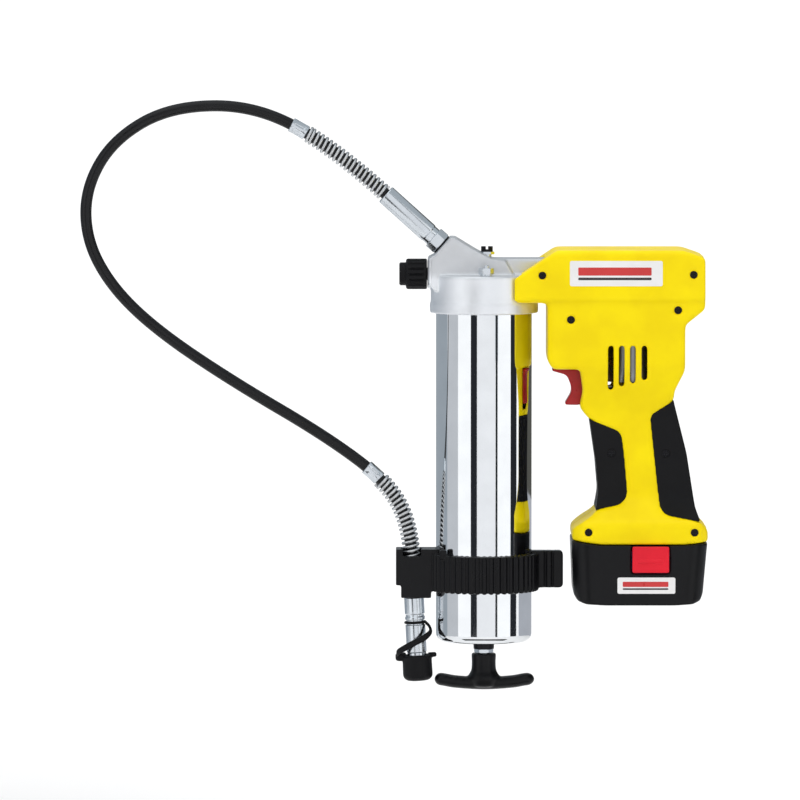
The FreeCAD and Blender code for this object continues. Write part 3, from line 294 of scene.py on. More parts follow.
def lathe(profile, segments=96, section=None, closed=True):
    """Vertices and faces of a turned form. section(angle, radius, height) may shape each ring."""
    vertices = []
    rings = []
    for radius, height in profile:
        if radius < 1e-6:
            rings.append([len(vertices)])
            vertices.append((0, 0, height))
            continue
        ring = []
        for i in range(segments):
            angle = 2 * math.pi * i / segments
            reach = section(angle, radius, height) if section else radius
            ring.append(len(vertices))
            vertices.append((reach * math.cos(angle), reach * math.sin(angle), height))
        rings.append(ring)
    faces = []
    pairs = list(zip(rings, rings[1:]))
    if closed:
        pairs.append((rings[-1], rings[0]))
    for low, high in pairs:
        for i in range(segments):
            j = (i + 1) % segments
            if len(low) == 1 and len(high) == 1:
                break
            if len(low) == 1:
                faces.append((low[0], high[j], high[i]))
            elif len(high) == 1:
                faces.append((low[i], low[j], high[0]))
            else:
                faces.append((low[i], low[j], high[j], high[i]))
    return vertices, faces


def loft(rings):
    """Vertices and faces that join rings of equal count in turn, with both ends closed."""
    count = len(rings[0])
    vertices = [tuple(point) for ring in rings for point in ring]
    faces = []
    for r in range(len(rings) - 1):
        for i in range(count):
            j = (i + 1) % count
            faces.append((r * count + i, r * count + j, (r + 1) * count + j,
                          (r + 1) * count + i))
    faces.append(tuple(range(count))[::-1])
    last = (len(rings) - 1) * count
    faces.append(tuple(range(last, last + count)))
    return vertices, faces


def slab(outline, low, high, bevel=0.0):
    """Vertices and faces of a flat plate along Z with an outline and a small edge bevel."""
    middle = sum(outline, Vector((0, 0))) / len(outline)
    reach = max((point - middle).length for point in outline)
    inner = 1 - bevel / reach
    rings = []
    for scale, height in ((inner, low), (1, low + bevel), (1, high - bevel), (inner, high)):
        rings.append([(*(middle + (point - middle) * scale), height) for point in outline])
    return loft(rings)


def joined(*parts):
    """Several (vertices, faces) forms as one."""
    vertices, faces = [], []
    for some_vertices, some_faces in parts:
        start = len(vertices)
        vertices += list(some_vertices)
        faces += [tuple(start + i for i in face) for face in some_faces]
    return vertices, faces


def placed(form, matrix):
    """A form moved by a matrix."""
    return [tuple(matrix @ Vector(vertex)) for vertex in form[0]], form[1]


def make_object(name, form):
    """A mesh object from a form in millimetres, with its faces turned outward."""
    mesh = bpy.data.meshes.new(name)
    mesh.from_pydata([Vector(vertex) * MM for vertex in form[0]], [], form[1])
    shaping = bmesh.new()
    shaping.from_mesh(mesh)
    bmesh.ops.remove_doubles(shaping, verts=shaping.verts, dist=1e-7)
    bmesh.ops.recalc_face_normals(shaping, faces=shaping.faces)
    shaping.to_mesh(mesh)
    shaping.free()
    piece = bpy.data.objects.new(name, mesh)
    scene.collection.objects.link(piece)
    return piece


def dress(piece, finish, body, nodes=(), crease=35.0):
    """Give a piece its material, smooth shading, body and the CAD nodes it stands for."""
    mesh = piece.data
    shaping = bmesh.new()
    shaping.from_mesh(mesh)
    for face in shaping.faces:
        face.smooth = True
    for edge in shaping.edges:
        edge.smooth = len(edge.link_faces) == 2 and edge.calc_face_angle() < math.radians(crease)
    shaping.to_mesh(mesh)
    shaping.free()
    mesh.materials.clear()
    mesh.materials.append(FINISH[finish])
    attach(piece, body)
    if nodes:
        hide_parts(*nodes)
    return piece


def add(name, form, finish, body, nodes=(), crease=35.0):
    """A finished piece from a form."""
    return dress(make_object(name, form), finish, body, nodes, crease)


def coordinates(mesh):
    """A mesh's vertices as an array."""
    values = np.empty(len(mesh.vertices) * 3)
    mesh.vertices.foreach_get("co", values)
    return values.reshape(-1, 3)


def relax(mesh, rounds, weight=None):
    """Round a mesh off by drawing each vertex towards its neighbours; weight holds it back."""
    count = len(mesh.vertices)
    ends = np.empty(len(mesh.edges) * 2, int)
    mesh.edges.foreach_get("vertices", ends)
    here = np.concatenate([ends[::2], ends[1::2]])
    there = np.concatenate([ends[1::2], ends[::2]])
    degree = np.maximum(np.bincount(here, minlength=count), 1)[:, None]
    places = coordinates(mesh)
    pull = 0.5 if weight is None else 0.5 * weight(places / MM)[:, None]
    for _ in range(rounds):
        sums = [np.bincount(here, weights=places[there, k], minlength=count) for k in range(3)]
        places = places + pull * (np.stack(sums, 1) / degree - places)
    mesh.vertices.foreach_set("co", places.ravel())
    mesh.update()


def fuse(piece, voxel):
    """Remesh a piece evenly, which also unites the closed forms that it is made of."""
    modifier = piece.modifiers.new("fuse", "REMESH")
    modifier.mode = "VOXEL"
    modifier.voxel_size = voxel * MM
    bpy.context.view_layer.update()
    evaluated = piece.evaluated_get(bpy.context.evaluated_depsgraph_get())
    mesh = bpy.data.meshes.new_from_object(evaluated)
    piece.modifiers.clear()
    piece.data = mesh
    return mesh


def soften(name, node, voxel, rounds, finish, body, weight=None, extra=None):
    """A CAD node's shape with its edges rounded as moulding or casting leaves them."""
    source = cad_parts[node].data
    form = ([tuple(vertex.co / MM) for vertex in source.vertices],
            [tuple(face.vertices) for face in source.polygons])
    if extra:
        form = joined(form, extra)
    mesh = bpy.data.meshes.new(name)
    mesh.from_pydata([Vector(vertex) * MM for vertex in form[0]], [], form[1])
    welding = bmesh.new()
    welding.from_mesh(mesh)
    bmesh.ops.remove_doubles(welding, verts=welding.verts, dist=1e-6)
    welding.to_mesh(mesh)
    welding.free()
    piece = bpy.data.objects.new(name, mesh)
    scene.collection.objects.link(piece)
    relax(fuse(piece, voxel), rounds, weight)
    return dress(piece, finish, body, (node,), 60.0)


def ramp(value, low, high):
    """0 below low, 1 above high, smooth between."""
    share = np.clip((value - low) / (high - low), 0, 1)
    return share * share * (3 - 2 * share)


# ---------------------------------------------------------------- barrel and pump head

BARREL_END = -136.4
BARREL_FLOOR = BARREL_END + 1.4


def make_barrel():
    profile = rounded_outline([
        (8.5, BARREL_END, 0.3), (31.7, BARREL_END, 5.5), (31.7, 100.5, 0.2), (30.3, 100.5, 0.2),
        (30.3, BARREL_FLOOR, 4.1), (8.5, BARREL_FLOOR, 0.3)])
    add("chromed_barrel", lathe(profile, 256), "chrome_tube", "gun_body", ["barrel_tube"])


def make_pump_head():
    soften("pump_head_casting", "pump_head", 0.62, 9, "cast_aluminium", "gun_body")


def hex_section(corner_radius, above=-math.inf):
    """Cut a turned form to a hexagon of that corner radius, above a height."""
    flat = corner_radius * math.cos(math.pi / 6)

    def section(angle, radius, height):
        if height <= above:
            return radius
        turn = (angle % (math.pi / 3)) - math.pi / 6
        return min(radius, flat / math.cos(turn))
    return section


def make_valves():
    seat = rounded_outline([(0, 114.8, 0), (2.95, 114.8, 0.3), (2.95, 119.4, 0),
                            (5.0, 119.4, 0.4), (5.0, 121.2, 0.4), (0, 121.2, 0)])
    place = Matrix.Translation((1.9, 0, 0))
    add("relief_seat", placed(lathe(seat, 96, hex_section(5.0), closed=False), place),
        "zinc_steel", "gun_body", ["relief_valve_seat"])
    halves = []
    for side in (-1, 1):
        outline = [Vector((side * 0.75, 3.75)), Vector((side * 0.75, -3.75))]
        for step in range(13):
            angle = math.radians(-75 + 150 * step / 12)
            outline.append(Vector((side * 3.9 * math.cos(angle), 3.9 * math.sin(angle))))
        halves.append(slab(outline, 122.4, 124.7, 0.35))
    base = lathe(rounded_outline([(0, 121.2, 0), (3.9, 121.2, 0.2), (3.9, 122.6, 0.1),
                                  (0, 122.6, 0)]), 64, closed=False)
    add("relief_screw", placed(joined(base, *halves), place), "dark_steel", "gun_body",
        ["relief_valve_screw"])
    nut = rounded_outline([(1.5, 103.0, 0), (2.45, 103.0, 0.2), (2.45, 106.5, 0),
                           (4.0, 106.5, 0.1), (4.0, 107.5, 0.1), (5.1, 107.5, 0.5),
                           (5.1, 111.7, 0.8), (1.5, 111.7, 0.2)])
    place = Matrix.Translation((1.2, -27.0, 0))
    add("bleed_nut", placed(lathe(nut, 96, hex_section(5.2, above=107.4)), place),
        "zinc_steel", "gun_body", ["bleed_valve"])
    pin = rounded_outline([(0, 105.5, 0), (1.42, 105.5, 0.2), (1.42, 113.5, 0.5), (0, 113.5, 0)])
    add("bleed_button_pin", placed(lathe(pin, 48, closed=False), place), "zinc_steel",
        "bleed_button", ["bleed_pin"])


def make_filler_cap():
    """Fluted cap with a smaller round boss on its outer end."""
    grip_radius = 9.0
    flutes = 16
    profile = rounded_outline([
        (0, -11.0, 0), (4.14, -11.0, 0.6), (4.14, 0.3, 0), (10.1, 0.3, 1.0),
        (10.1, 14.2, 1.6), (7.6, 14.2, 0.6), (7.6, 18.6, 1.2), (0, 18.6, 0)])
    refined = []
    for (r0, z0), (r1, z1) in zip(profile, profile[1:]):
        steps = max(1, round(abs(z1 - z0) / 0.8)) if min(r0, r1) > grip_radius else 1
        refined += [(r0 + (r1 - r0) * i / steps, z0 + (z1 - z0) * i / steps)
                    for i in range(steps)]
    refined.append(tuple(profile[-1]))

    def fluted(angle, radius, height):
        if radius < grip_radius:
            return radius
        depth = float(ramp(height, 1.0, 2.6) * (1 - ramp(height, 11.8, 13.4)))
        return radius - depth * max(0.0, math.cos(angle * flutes)) ** 1.5
    place = Matrix.Translation((-37.3, 0, 106.5)) @ Matrix.Rotation(math.radians(-90), 4, "Y")
    add("filler_knob", placed(lathe(refined, 256, fluted, closed=False), place), "black_rubber",
        "filler_plug", ["filler_cap"], 45.0)


# ---------------------------------------------------------------- outlet, hose and coupler

def make_outlet():
    seal = rounded_outline([(5.0, 0.15, 0.2), (7.2, 0.15, 0.4), (7.2, 1.3, 0.4), (5.0, 1.3, 0.2)])
    add("outlet_seal_ring", placed(lathe(seal, 96), OUTLET), "dark_steel", "gun_body",
        ["outlet_seal"])
    nut = rounded_outline([(2.0, -4.0, 0.2), (4.95, -4.0, 0.4), (4.95, 1.3, 0), (7.6, 1.3, 0.6),
                           (7.6, 8.0, 0.9), (2.0, 8.0, 0.2)])
    add("outlet_nut", placed(lathe(nut, 96, hex_section(7.7, above=1.2)), OUTLET),
        "zinc_steel", "gun_body", ["outlet_fitting"])
    stem = rounded_outline([
        (2.0, 8.0, 0), (6.2, 8.0, 0.3), (6.2, 11.6, 0.3), (6.6, 12.4, 0.4), (6.6, 50.3, 1.0),
        (2.0, 50.3, 0)])
    add("stem_tube", placed(lathe(stem, 128), OUTLET), "zinc_steel", "gun_body", ["hose_stem"])


def make_hose():
    curve = bpy.data.curves.new("grease_hose", "CURVE")
    curve.dimensions = "3D"
    spline = curve.splines.new("NURBS")
    spline.points.add(len(HOSE_ROUTE) - 1)
    for point, place in zip(spline.points, HOSE_ROUTE):
        point.co = (*(Vector(place) * MM), 1)
    spline.order_u = 3
    spline.use_endpoint_u = True
    spline.resolution_u = 24
    line = bpy.data.objects.new("hose_line", curve)
    scene.collection.objects.link(line)
    bpy.context.view_layer.update()
    evaluated = line.evaluated_get(bpy.context.evaluated_depsgraph_get())
    path = bpy.data.meshes.new_from_object(evaluated)
    points = coordinates(path) / MM
    bpy.data.meshes.remove(path)
    line.name = "hose_cover"
    curve.bevel_depth = HOSE_RADIUS * MM
    curve.bevel_resolution = 10
    curve.use_fill_caps = True
    curve.materials.append(FINISH["hose_rubber"])
    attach(line, "gun_body")
    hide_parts("hose")
    return line, points


class Path:
    """A smooth line with a place and a steady frame at each length along it."""

    def __init__(self, points):
        self.points = points
        steps = np.linalg.norm(np.diff(points, axis=0), axis=1)
        self.lengths = np.concatenate([[0], np.cumsum(steps)])
        self.total = self.lengths[-1]

    def place(self, length):
        return Vector([np.interp(length, self.lengths, self.points[:, k]) for k in range(3)])

    def at(self, length):
        """Matrix whose Z runs along the line and whose Y stays across the hose's plane."""
        along = (self.place(length + 0.6) - self.place(length - 0.6)).normalized()
        side = Vector((0, 1, 0)).cross(along).normalized()
        turned_frame = Matrix((side, along.cross(side), along)).transposed().to_4x4()
        return Matrix.Translation(self.place(length)) @ turned_frame


def wire_along(centres, radius):
    """A round wire through a list of points, its ends closed."""
    sides = 10
    rings = []
    normal = Vector((0, 1, 0))
    for i, centre in enumerate(centres):
        ahead = centres[min(i + 1, len(centres) - 1)]
        along = (ahead - centres[max(i - 1, 0)]).normalized()
        normal = (normal - along * normal.dot(along)).normalized()
        other = along.cross(normal)
        rings.append([centre + (normal * math.cos(2 * math.pi * k / sides)
                                + other * math.sin(2 * math.pi * k / sides)) * radius
                      for k in range(sides)])
    return loft(rings)


def coil_along(path, start, end, turns, coil_radius, wire):
    """A spring wound round a path, its end turns closed up."""
    centres = []
    steps_per_turn = 28
    dead = 1.0
    closed_pitch = 2.05 * wire
    live_pitch = (end - start - 2 * wire - 2 * dead * closed_pitch) / (turns - 2 * dead)
    steps = int(turns * steps_per_turn)
    for step in range(steps + 1):
        turn = step / steps_per_turn
        length = start + wire + closed_pitch * min(turn, dead)
        length += live_pitch * max(0, min(turn, turns - dead) - dead)
        length += closed_pitch * max(0, turn - (turns - dead))
        angle = 2 * math.pi * turn
        place = path.at(length)
        centres.append(place @ Vector((coil_radius * math.cos(angle),
                                       coil_radius * math.sin(angle), 0)))
    return wire_along(centres, wire)


def tube_along(path, start, end, profile, segments, section):
    """A turned form bent along a path: profile holds (radius, share of the way) corners."""
    length = end - start
    vertices = []
    form = lathe([(r, s * length) for r, s in profile], segments, section)
    for x, y, z in form[0]:
        place = path.at(start + z)
        vertices.append(tuple(place @ Vector((x, y, 0))))
    return vertices, form[1]


def make_guards(path):
    """Coiled bend guards at both ends of the hose, each with a crimped sleeve."""
    total = path.total
    sleeve = 11.5
    guards = {
        "upper_guard_coil": (0.5, 65.2, 20, 4.82, 0.97, "guard_upper"),
        "lower_guard_coil": (total - 60.2, total - 0.5, 19, 4.95, 0.98, "guard_lower"),
    }
    made = []
    for name, (start, end, turns, radius, wire, node) in guards.items():
        made.append(add(name, coil_along(path, start, end, turns, radius, wire), "spring_steel",
                        "gun_body", [node], 80.0))

    def crimped(angle, radius, height):
        if radius < 4.5:
            return radius
        share = float(ramp(height, 2.2, 3.0) * (1 - ramp(height, 8.6, 9.4)))
        return radius - share * (0.34 - 0.26 * abs(math.cos(angle * 4)))
    profile = [(4.1, 0.0), (4.5, 0.0), (4.85, 0.03)]
    profile += [(4.85, 0.18 + 0.66 * i / 12) for i in range(13)]
    profile += [(4.85, 0.97), (4.5, 1.0), (4.1, 1.0)]
    sleeves = []
    for start in (65.8, total - 60.8 - sleeve):
        sleeves.append(tube_along(path, start, start + sleeve, profile, 96, crimped))
    made.append(add("crimp_sleeves", joined(*sleeves), "zinc_steel", "gun_body",
                    ["guard_sleeves"], 40.0))
    return made


def make_coupler():
    """Hose end fitting, coupler and its sleeve, all turned about one axis."""
    fitting = rounded_outline([
        (2.0, 0, 0), (5.6, 0, 0.6), (5.6, 9.0, 0.2), (5.2, 9.4, 0.2), (5.2, 10.6, 0.2),
        (5.6, 11.0, 0.2), (5.6, 23.0, 0.5), (2.0, 23.0, 0)])
    made = [add("hose_ferrule", placed(lathe(fitting, 96), COUPLER), "zinc_steel", "gun_body",
                ["hose_end_fitting"])]
    body = rounded_outline([
        (2.0, 23.0, 0), (6.2, 23.0, 0.3), (6.6, 24.0, 0.4), (6.6, 34.2, 0.3), (6.1, 34.8, 0.2),
        (6.1, 36.0, 0.2), (6.6, 36.6, 0.3), (6.6, 38.2, 0.3), (5.8, 38.3, 0.2), (5.8, 41.7, 0.2),
        (6.6, 41.8, 0.3), (6.6, 60.0, 0.6), (2.0, 60.0, 0)])
    made.append(add("coupler_barrel", placed(lathe(body, 96), COUPLER), "zinc_steel",
                    "gun_body", ["coupler_body"]))
    knurl_low, knurl_high, ridges = 62.5, 68.0, 48
    outline = rounded_outline([
        (5.1, 60.0, 0.1), (6.2, 60.0, 0.4), (6.2, 72.0, 1.6), (3.3, 72.0, 0.4),
        (3.3, 70.5, 0.2), (5.1, 69.5, 0.2)])

    def knurled(angle, radius, height):
        cut = 0.12 if knurl_low < height < knurl_high and radius > 6 else 0.0
        return radius - cut * (0.5 + 0.5 * math.cos(angle * ridges))
    made.append(add("coupler_lock_sleeve", placed(lathe(outline, 192, knurled), COUPLER),
                    "zinc_steel", "gun_body", ["coupler_sleeve"]))
    return made


def make_dust_cap():
    """Rubber cap with a flared rim, a lug for its strap and a small pull tab."""
    shell = rounded_outline([
        (0, 75.0, 0), (6.95, 75.0, 0.8), (6.95, 62.2, 0.3), (8.9, 61.6, 0.5), (10.0, 62.6, 0.8),
        (9.7, 65.0, 2.0), (9.9, 78.8, 4.2), (0, 78.8, 0)])
    lug = slab(rounded_outline([(7.0, -3.6, 0.5), (13.2, -3.0, 1.6), (14.4, 0, 1.2),
                                (13.2, 3.0, 1.6), (7.0, 3.6, 0.5)]), 60.0, 65.4, 1.0)
    tab = slab(rounded_outline([(-7.2, -2.2, 0.4), (-12.4, -1.4, 0.8), (-13.2, 0, 0.6),
                                (-12.4, 1.4, 0.8), (-7.2, 2.2, 0.4)]), 60.6, 63.8, 0.6)
    piece = make_object("rubber_dust_cap", placed(
        joined(lathe(shell, 96, closed=False), lug, tab), COUPLER))
    relax(fuse(piece, 0.4), 7)
    return dress(piece, "black_rubber", "coupler_cap", ["dust_cap"], 60.0)


def smooth_line(points, per_span):
    """A Catmull-Rom line through a few points."""
    padded = [points[0] * 2 - points[1], *points, points[-1] * 2 - points[-2]]
    line = []
    for p0, p1, p2, p3 in zip(padded, padded[1:], padded[2:], padded[3:]):
        for step in range(per_span):
            t = step / per_span
            line.append(0.5 * (2 * p1 + (p2 - p0) * t + (2 * p0 - 5 * p1 + 4 * p2 - p3) * t * t
                               + (3 * p1 - p0 - 3 * p2 + p3) * t ** 3))
    line.append(points[-1])
    return line


def make_strap():
    """Rubber ring in the coupler's groove and a flat tail that sweeps to the cap's lug."""
    ring = lathe(rounded_outline([(5.85, 39.2, 0.3), (7.4, 39.2, 0.7), (7.4, 41.0, 0.7),
                                  (5.85, 41.0, 0.3)]), 96)
    line = smooth_line([Vector(p) for p in (
        (-6.6, 1.0, 40.4), (-9.2, -2.6, 43.2), (-9.6, -6.4, 46.6), (-5.2, -9.6, 50.0),
        (1.6, -10.6, 53.0), (8.0, -9.4, 56.2), (12.0, -5.6, 58.8), (12.8, -1.0, 60.8))], 10)
    half_thick, sides = 0.95, 16
    rings = []
    for i, centre in enumerate(line):
        along = (line[min(i + 1, len(line) - 1)] - line[max(i - 1, 0)]).normalized()
        outward = Vector((centre.x, centre.y, 0)).normalized()
        outward = (outward - along * outward.dot(along)).normalized()
        across = along.cross(outward)
        share = i / (len(line) - 1)
        wide = 1.2 + 1.0 * min(1.0, share * 2.6)
        rings.append([centre + across * wide * math.cos(2 * math.pi * k / sides)
                      + outward * half_thick * math.sin(2 * math.pi * k / sides)
                      for k in range(sides)])
    piece = make_object("cap_tether", placed(joined(ring, loft(rings)), COUPLER))
    relax(fuse(piece, 0.36), 4)
    mesh = piece.data
    mesh.materials.append(FINISH["black_rubber"])
    for face in mesh.polygons:
        face.use_smooth = True
    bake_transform(piece)
    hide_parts("cap_strap")
    return piece


def make_clip():
    """Moulded clip: its ribs hang below the band as small scallops."""
    ribs = 48
    rib = slab(rounded_outline([(31.9, -1.3, 0.5), (36.3, -1.3, 0.9), (36.3, 1.3, 0.9),
                                (31.9, 1.3, 0.5)]), -102.9, -78.0, 0.5)
    scallops = [placed(rib, Matrix.Rotation(2 * math.pi * i / ribs, 4, "Z"))
                for i in range(ribs)]
    soften("clip_moulding", "hose_clip", 0.5, 6, "black_plastic", "gun_body",
           extra=joined(*scallops))


# ---------------------------------------------------------------- rod and handle

def make_rod_fittings():
    inside = BARREL_FLOOR + 2.5
    bush = rounded_outline([
        (4.05, -141.8, 0.2), (6.8, -141.8, 0.5), (6.8, BARREL_END, 0), (8.4, BARREL_END, 0),
        (8.4, BARREL_FLOOR, 0), (12.0, BARREL_FLOOR, 0.4), (12.0, inside, 0.4),
        (4.05, inside, 0.2)])
    add("gland_bush", lathe(bush, 96), "dark_steel", "gun_body", ["rod_bush"])
    nut = rounded_outline([(4.05, -144.1, 0.2), (6.35, -144.1, 0.6), (6.35, -141.8, 0.5),
                           (4.05, -141.8, 0.2)])
    add("gland_nut", lathe(nut, 96, hex_section(6.4)), "zinc_steel", "gun_body", ["rod_nut"])


def make_handle():
    """Moulded T handle: a flared stem that flows into a bar with upturned, rounded ends."""
    stem = rounded_outline([
        (4.05, -151.0, 0), (4.05, -144.4, 0.2), (8.2, -144.4, 1.0), (7.9, -150.0, 8.0),
        (8.1, -156.0, 6.0), (11.0, -160.6, 3.0), (9.0, -166.4, 2.0), (0, -167.4, 0),
        (0, -151.0, 0)])
    line = smooth_line([Vector(p) for p in (
        (-32.6, 0, -161.6), (-27.0, 0, -162.1), (-18.0, 0, -163.6), (0, 0, -164.6),
        (18.0, 0, -163.6), (27.0, 0, -162.1), (33.5, 0, -161.6))], 12)
    half_tall, half_deep, sides = 4.2, 6.4, 24
    round_from = 0.72
    rings = []
    last = len(line) - 1
    for i, centre in enumerate(line):
        share = abs(2 * i / last - 1)
        end = math.sqrt(max(0.02, 1 - max(0.0, (share - round_from) / (1 - round_from)) ** 2))
        along = (line[min(i + 1, last)] - line[max(i - 1, 0)]).normalized()
        up = Vector((-along.z, 0, along.x))
        deep = Vector((0, half_deep - share, 0))
        rings.append([centre + up * half_tall * end * math.cos(2 * math.pi * k / sides)
                      + deep * end * math.sin(2 * math.pi * k / sides)
                      for k in range(sides)])
    piece = make_object("t_handle_moulding", joined(lathe(stem), loft(rings)))
    relax(fuse(piece, 0.5), 12)
    dress(piece, "black_plastic", "rod", ["t_handle"], 60.0)


# ---------------------------------------------------------------- pistol housing

# Places (x, z) of the housing's screws; the fifth and sixth are in the grip pads.
SCREWS = [
    (37.9, 106.9), (137.1, 107.4), (127.0, 84.0), (56.7, 77.7),
    (83.6, -10.6), (119.4, -11.0), (68.4, -61.8), (137.9, -61.9),
]


def housing_weight(places):
    """How freely the housing's skin rounds: held at holes, slots, the split and the rims."""
    x, y, z = places[:, 0], places[:, 1], places[:, 2]
    weight = 0.12 + 0.88 * ramp(np.abs(y), 1.5, 5.0)
    for screw_x, screw_z in SCREWS:
        away = np.hypot(x - screw_x, z - screw_z)
        weight = np.minimum(weight, 0.18 + 0.82 * ramp(away, 4.4, 7.0))
    aside = np.maximum(np.abs(x - 94.0) - 13.0, np.maximum(29.0 - z, z - 63.0))
    weight = np.minimum(weight, 0.2 + 0.8 * ramp(aside, 0.0, 4.0))
    weight = np.minimum(weight, 0.2 + 0.8 * ramp(x, 21.0, 28.0))
    weight = np.minimum(weight, 0.3 + 0.7 * ramp(z, -68.5, -61.0))
    return weight


def pad_sleeves(side):
    """What fills the holes in a grip pad: collars about the screws, or plugs on the right."""
    bore = 2.2 if side > 0 else 0
    ring = lathe([(bore, 18.7), (3.3, 18.7), (3.3, 20.3), (bore, 20.3)], 40)
    turn = Matrix.Rotation(math.radians(90 * side), 4, "X")
    return joined(*(placed(ring, Matrix.Translation((x, 0, z)) @ turn)
                    for x, z in SCREWS[4:6]))


def make_housing():
    for side, sign in (("left", 1), ("right", -1)):
        soften("shell_" + side, "housing_" + side, 0.8, 26, "yellow_plastic", "gun_body",
               housing_weight)
        soften("grip_rubber_" + side, "grip_pads_" + side, 0.62, 10, "black_rubber",
               "gun_body", lambda places: 0.15 + 0.85 * ramp(np.abs(places[:, 1]), 1.0, 4.0),
               pad_sleeves(sign))


def sticker(name, node, body):
    """A printed sticker: white film with two plain level bars in place of any mark."""
    low, high = (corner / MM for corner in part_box(node))
    wide, tall = high.x - low.x, high.z - low.z
    face = Matrix(((1, 0, 0, low.x), (0, 0, 1, low.y), (0, -1, 0, high.z), (0, 0, 0, 1)))
    film = slab(rounded_outline([(0, 0, 1.2), (wide, 0, 1.2), (wide, tall, 1.2),
                                 (0, tall, 1.2)]), 0.02, 0.3, 0.05)
    add(name, placed(film, face), "label_film", body, [node], 30.0)
    left, right = 0.09 * wide, 0.88 * wide
    for shade, top, bottom in (("red", 0.26, 0.58), ("dark", 0.66, 0.76)):
        bar = slab(rounded_outline([
            (left, bottom * tall, 0.6), (right, bottom * tall, 0.6),
            (right, top * tall, 0.6), (left, top * tall, 0.6)]), -0.01, 0.05)
        piece = make_object(name + "_print_" + shade, placed(bar, face))
        dress(piece, "label_film", body)
        piece.data.materials.clear()
        piece.data.materials.append(PRINT[shade])


def make_labels():
    sticker("housing_sticker", "label_housing", "gun_body")
    sticker("battery_sticker", "label_battery", "battery")


# ---------------------------------------------------------------- trigger and battery

def make_trigger():
    pin_x, pin_z = 68.0, 41.5
    soften("trigger_blade", "trigger", 0.4, 12, "trigger_red", "trigger",
           lambda places: 0.1 + 0.9 * ramp(
               np.hypot(places[:, 0] - pin_x, places[:, 2] - pin_z), 2.4, 4.0))


def make_battery():
    soften("battery_shell", "battery_case", 0.8, 10, "black_plastic", "battery",
           lambda places: 0.3 + 0.7 * ramp(-places[:, 2], 72.0, 77.0))
    soften("battery_neck", "battery_cover", 0.6, 4, "black_plastic", "battery")
    for side in ("left", "right"):
        soften("latch_button_" + side, "release_button_" + side, 0.35, 6, "button_red",
               "latch_" + side)


# ---------------------------------------------------------------- inner parts

def make_follower_spring():
    """The long spring under the follower; the real one closes up as the rod is drawn, and this
    one is wound at a single length.
    """
    low, high = BARREL_FLOOR + 1.6, 78.5
    coil_radius, wire, turns = 26.0, 1.2, 8
    steps = turns * 32
    centres = []
    for step in range(steps + 1):
        angle = 2 * math.pi * turns * step / steps
        centres.append(Vector((coil_radius * math.cos(angle), coil_radius * math.sin(angle),
                               low + (high - low) * step / steps)))
    piece = add("barrel_spring_coil", wire_along(centres, wire), "spring_steel", "gun_body",
                ["follower_spring"], 80.0)
    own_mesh(piece)


INNER = {
    "black_rubber": ["barrel_gasket", "follower_cup"],
    "zinc_steel": ["follower_rod", "rod_retainer", "check_ball", "coupler_jaws", "trigger_pin",
                   "follower_plate"],
    "dark_steel": ["housing_screws"],
    "spring_steel": ["check_spring"],
    "cast_aluminium": ["gearbox_case", "gearbox_cover"],
    "brass_bush": ["crank_bearing", "battery_contacts"],
    "motor_steel": ["motor_can", "motor_armature", "pump_yoke", "pump_plunger"],
    "gear_steel": ["reduction_gear", "crank_shaft", "motor_pinion"],
    "black_plastic": ["switch_body", "terminal_block"],
    "cell_jacket": ["battery_cells"],
}


def dress_inner_parts():
    for finish, names in INNER.items():
        for name in names:
            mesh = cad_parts[name].data
            mesh.materials.clear()
            mesh.materials.append(FINISH[finish])


# ---------------------------------------------------------------- studio

def flat_material(name, colour, glow=False):
    """A plain studio surface, or one that gives light and reflects none."""
    material = bpy.data.materials.new(name)
    material.use_nodes = True
    shader = material.node_tree.nodes["Principled BSDF"]
    shader.inputs["Base Color"].default_value = (0, 0, 0, 1) if glow else (*colour, 1)
    shader.inputs["Roughness"].default_value = 0.9
    shader.inputs["Specular IOR Level"].default_value = 0.0
    if glow:
        shader.inputs["Emission Color"].default_value = (*colour, 1)
        shader.inputs["Emission Strength"].default_value = 1.0
    return material


def panel(name, start, end, near, far, material):
    """A studio panel between two bearings about the barrel, in degrees, and between two
    edges, each (reach, height); 0 faces the camera and positive bearings lie to its right."""
    vertices = []
    steps = 8
    for step in range(steps + 1):
        bearing = math.radians(start + (end - start) * step / steps)
        for reach, height in (near, far):
            vertices.append((reach * math.sin(bearing), -reach * math.cos(bearing), height))
    faces = [(2 * i, 2 * i + 2, 2 * i + 3, 2 * i + 1) for i in range(steps)]
    mesh = bpy.data.meshes.new(name)
    mesh.from_pydata(vertices, [], faces)
    mesh.materials.append(material)
    piece = bpy.data.objects.new(name, mesh)
    scene.collection.objects.link(piece)
    piece.visible_camera = False
    return piece


FLOOR_HEIGHT = -0.46
FLOOR_REACH = 400.0
CARD_TOP = 1.15
CARD_MIDDLE = -0.17
CARD_REACH = 1.5
CARD_SHADES = {
    "softbox": (1.10, 1.11, 1.12),
    "pale_panel": (0.92, 0.93, 0.95),
    "silver_card": (0.55, 0.57, 0.60),
    "low_card": (0.42, 0.44, 0.48),
    "grey_card": (0.33, 0.37, 0.41),
    "dark_card": (0.09, 0.09, 0.08),
    "black_flag": (0.02, 0.022, 0.026),
}
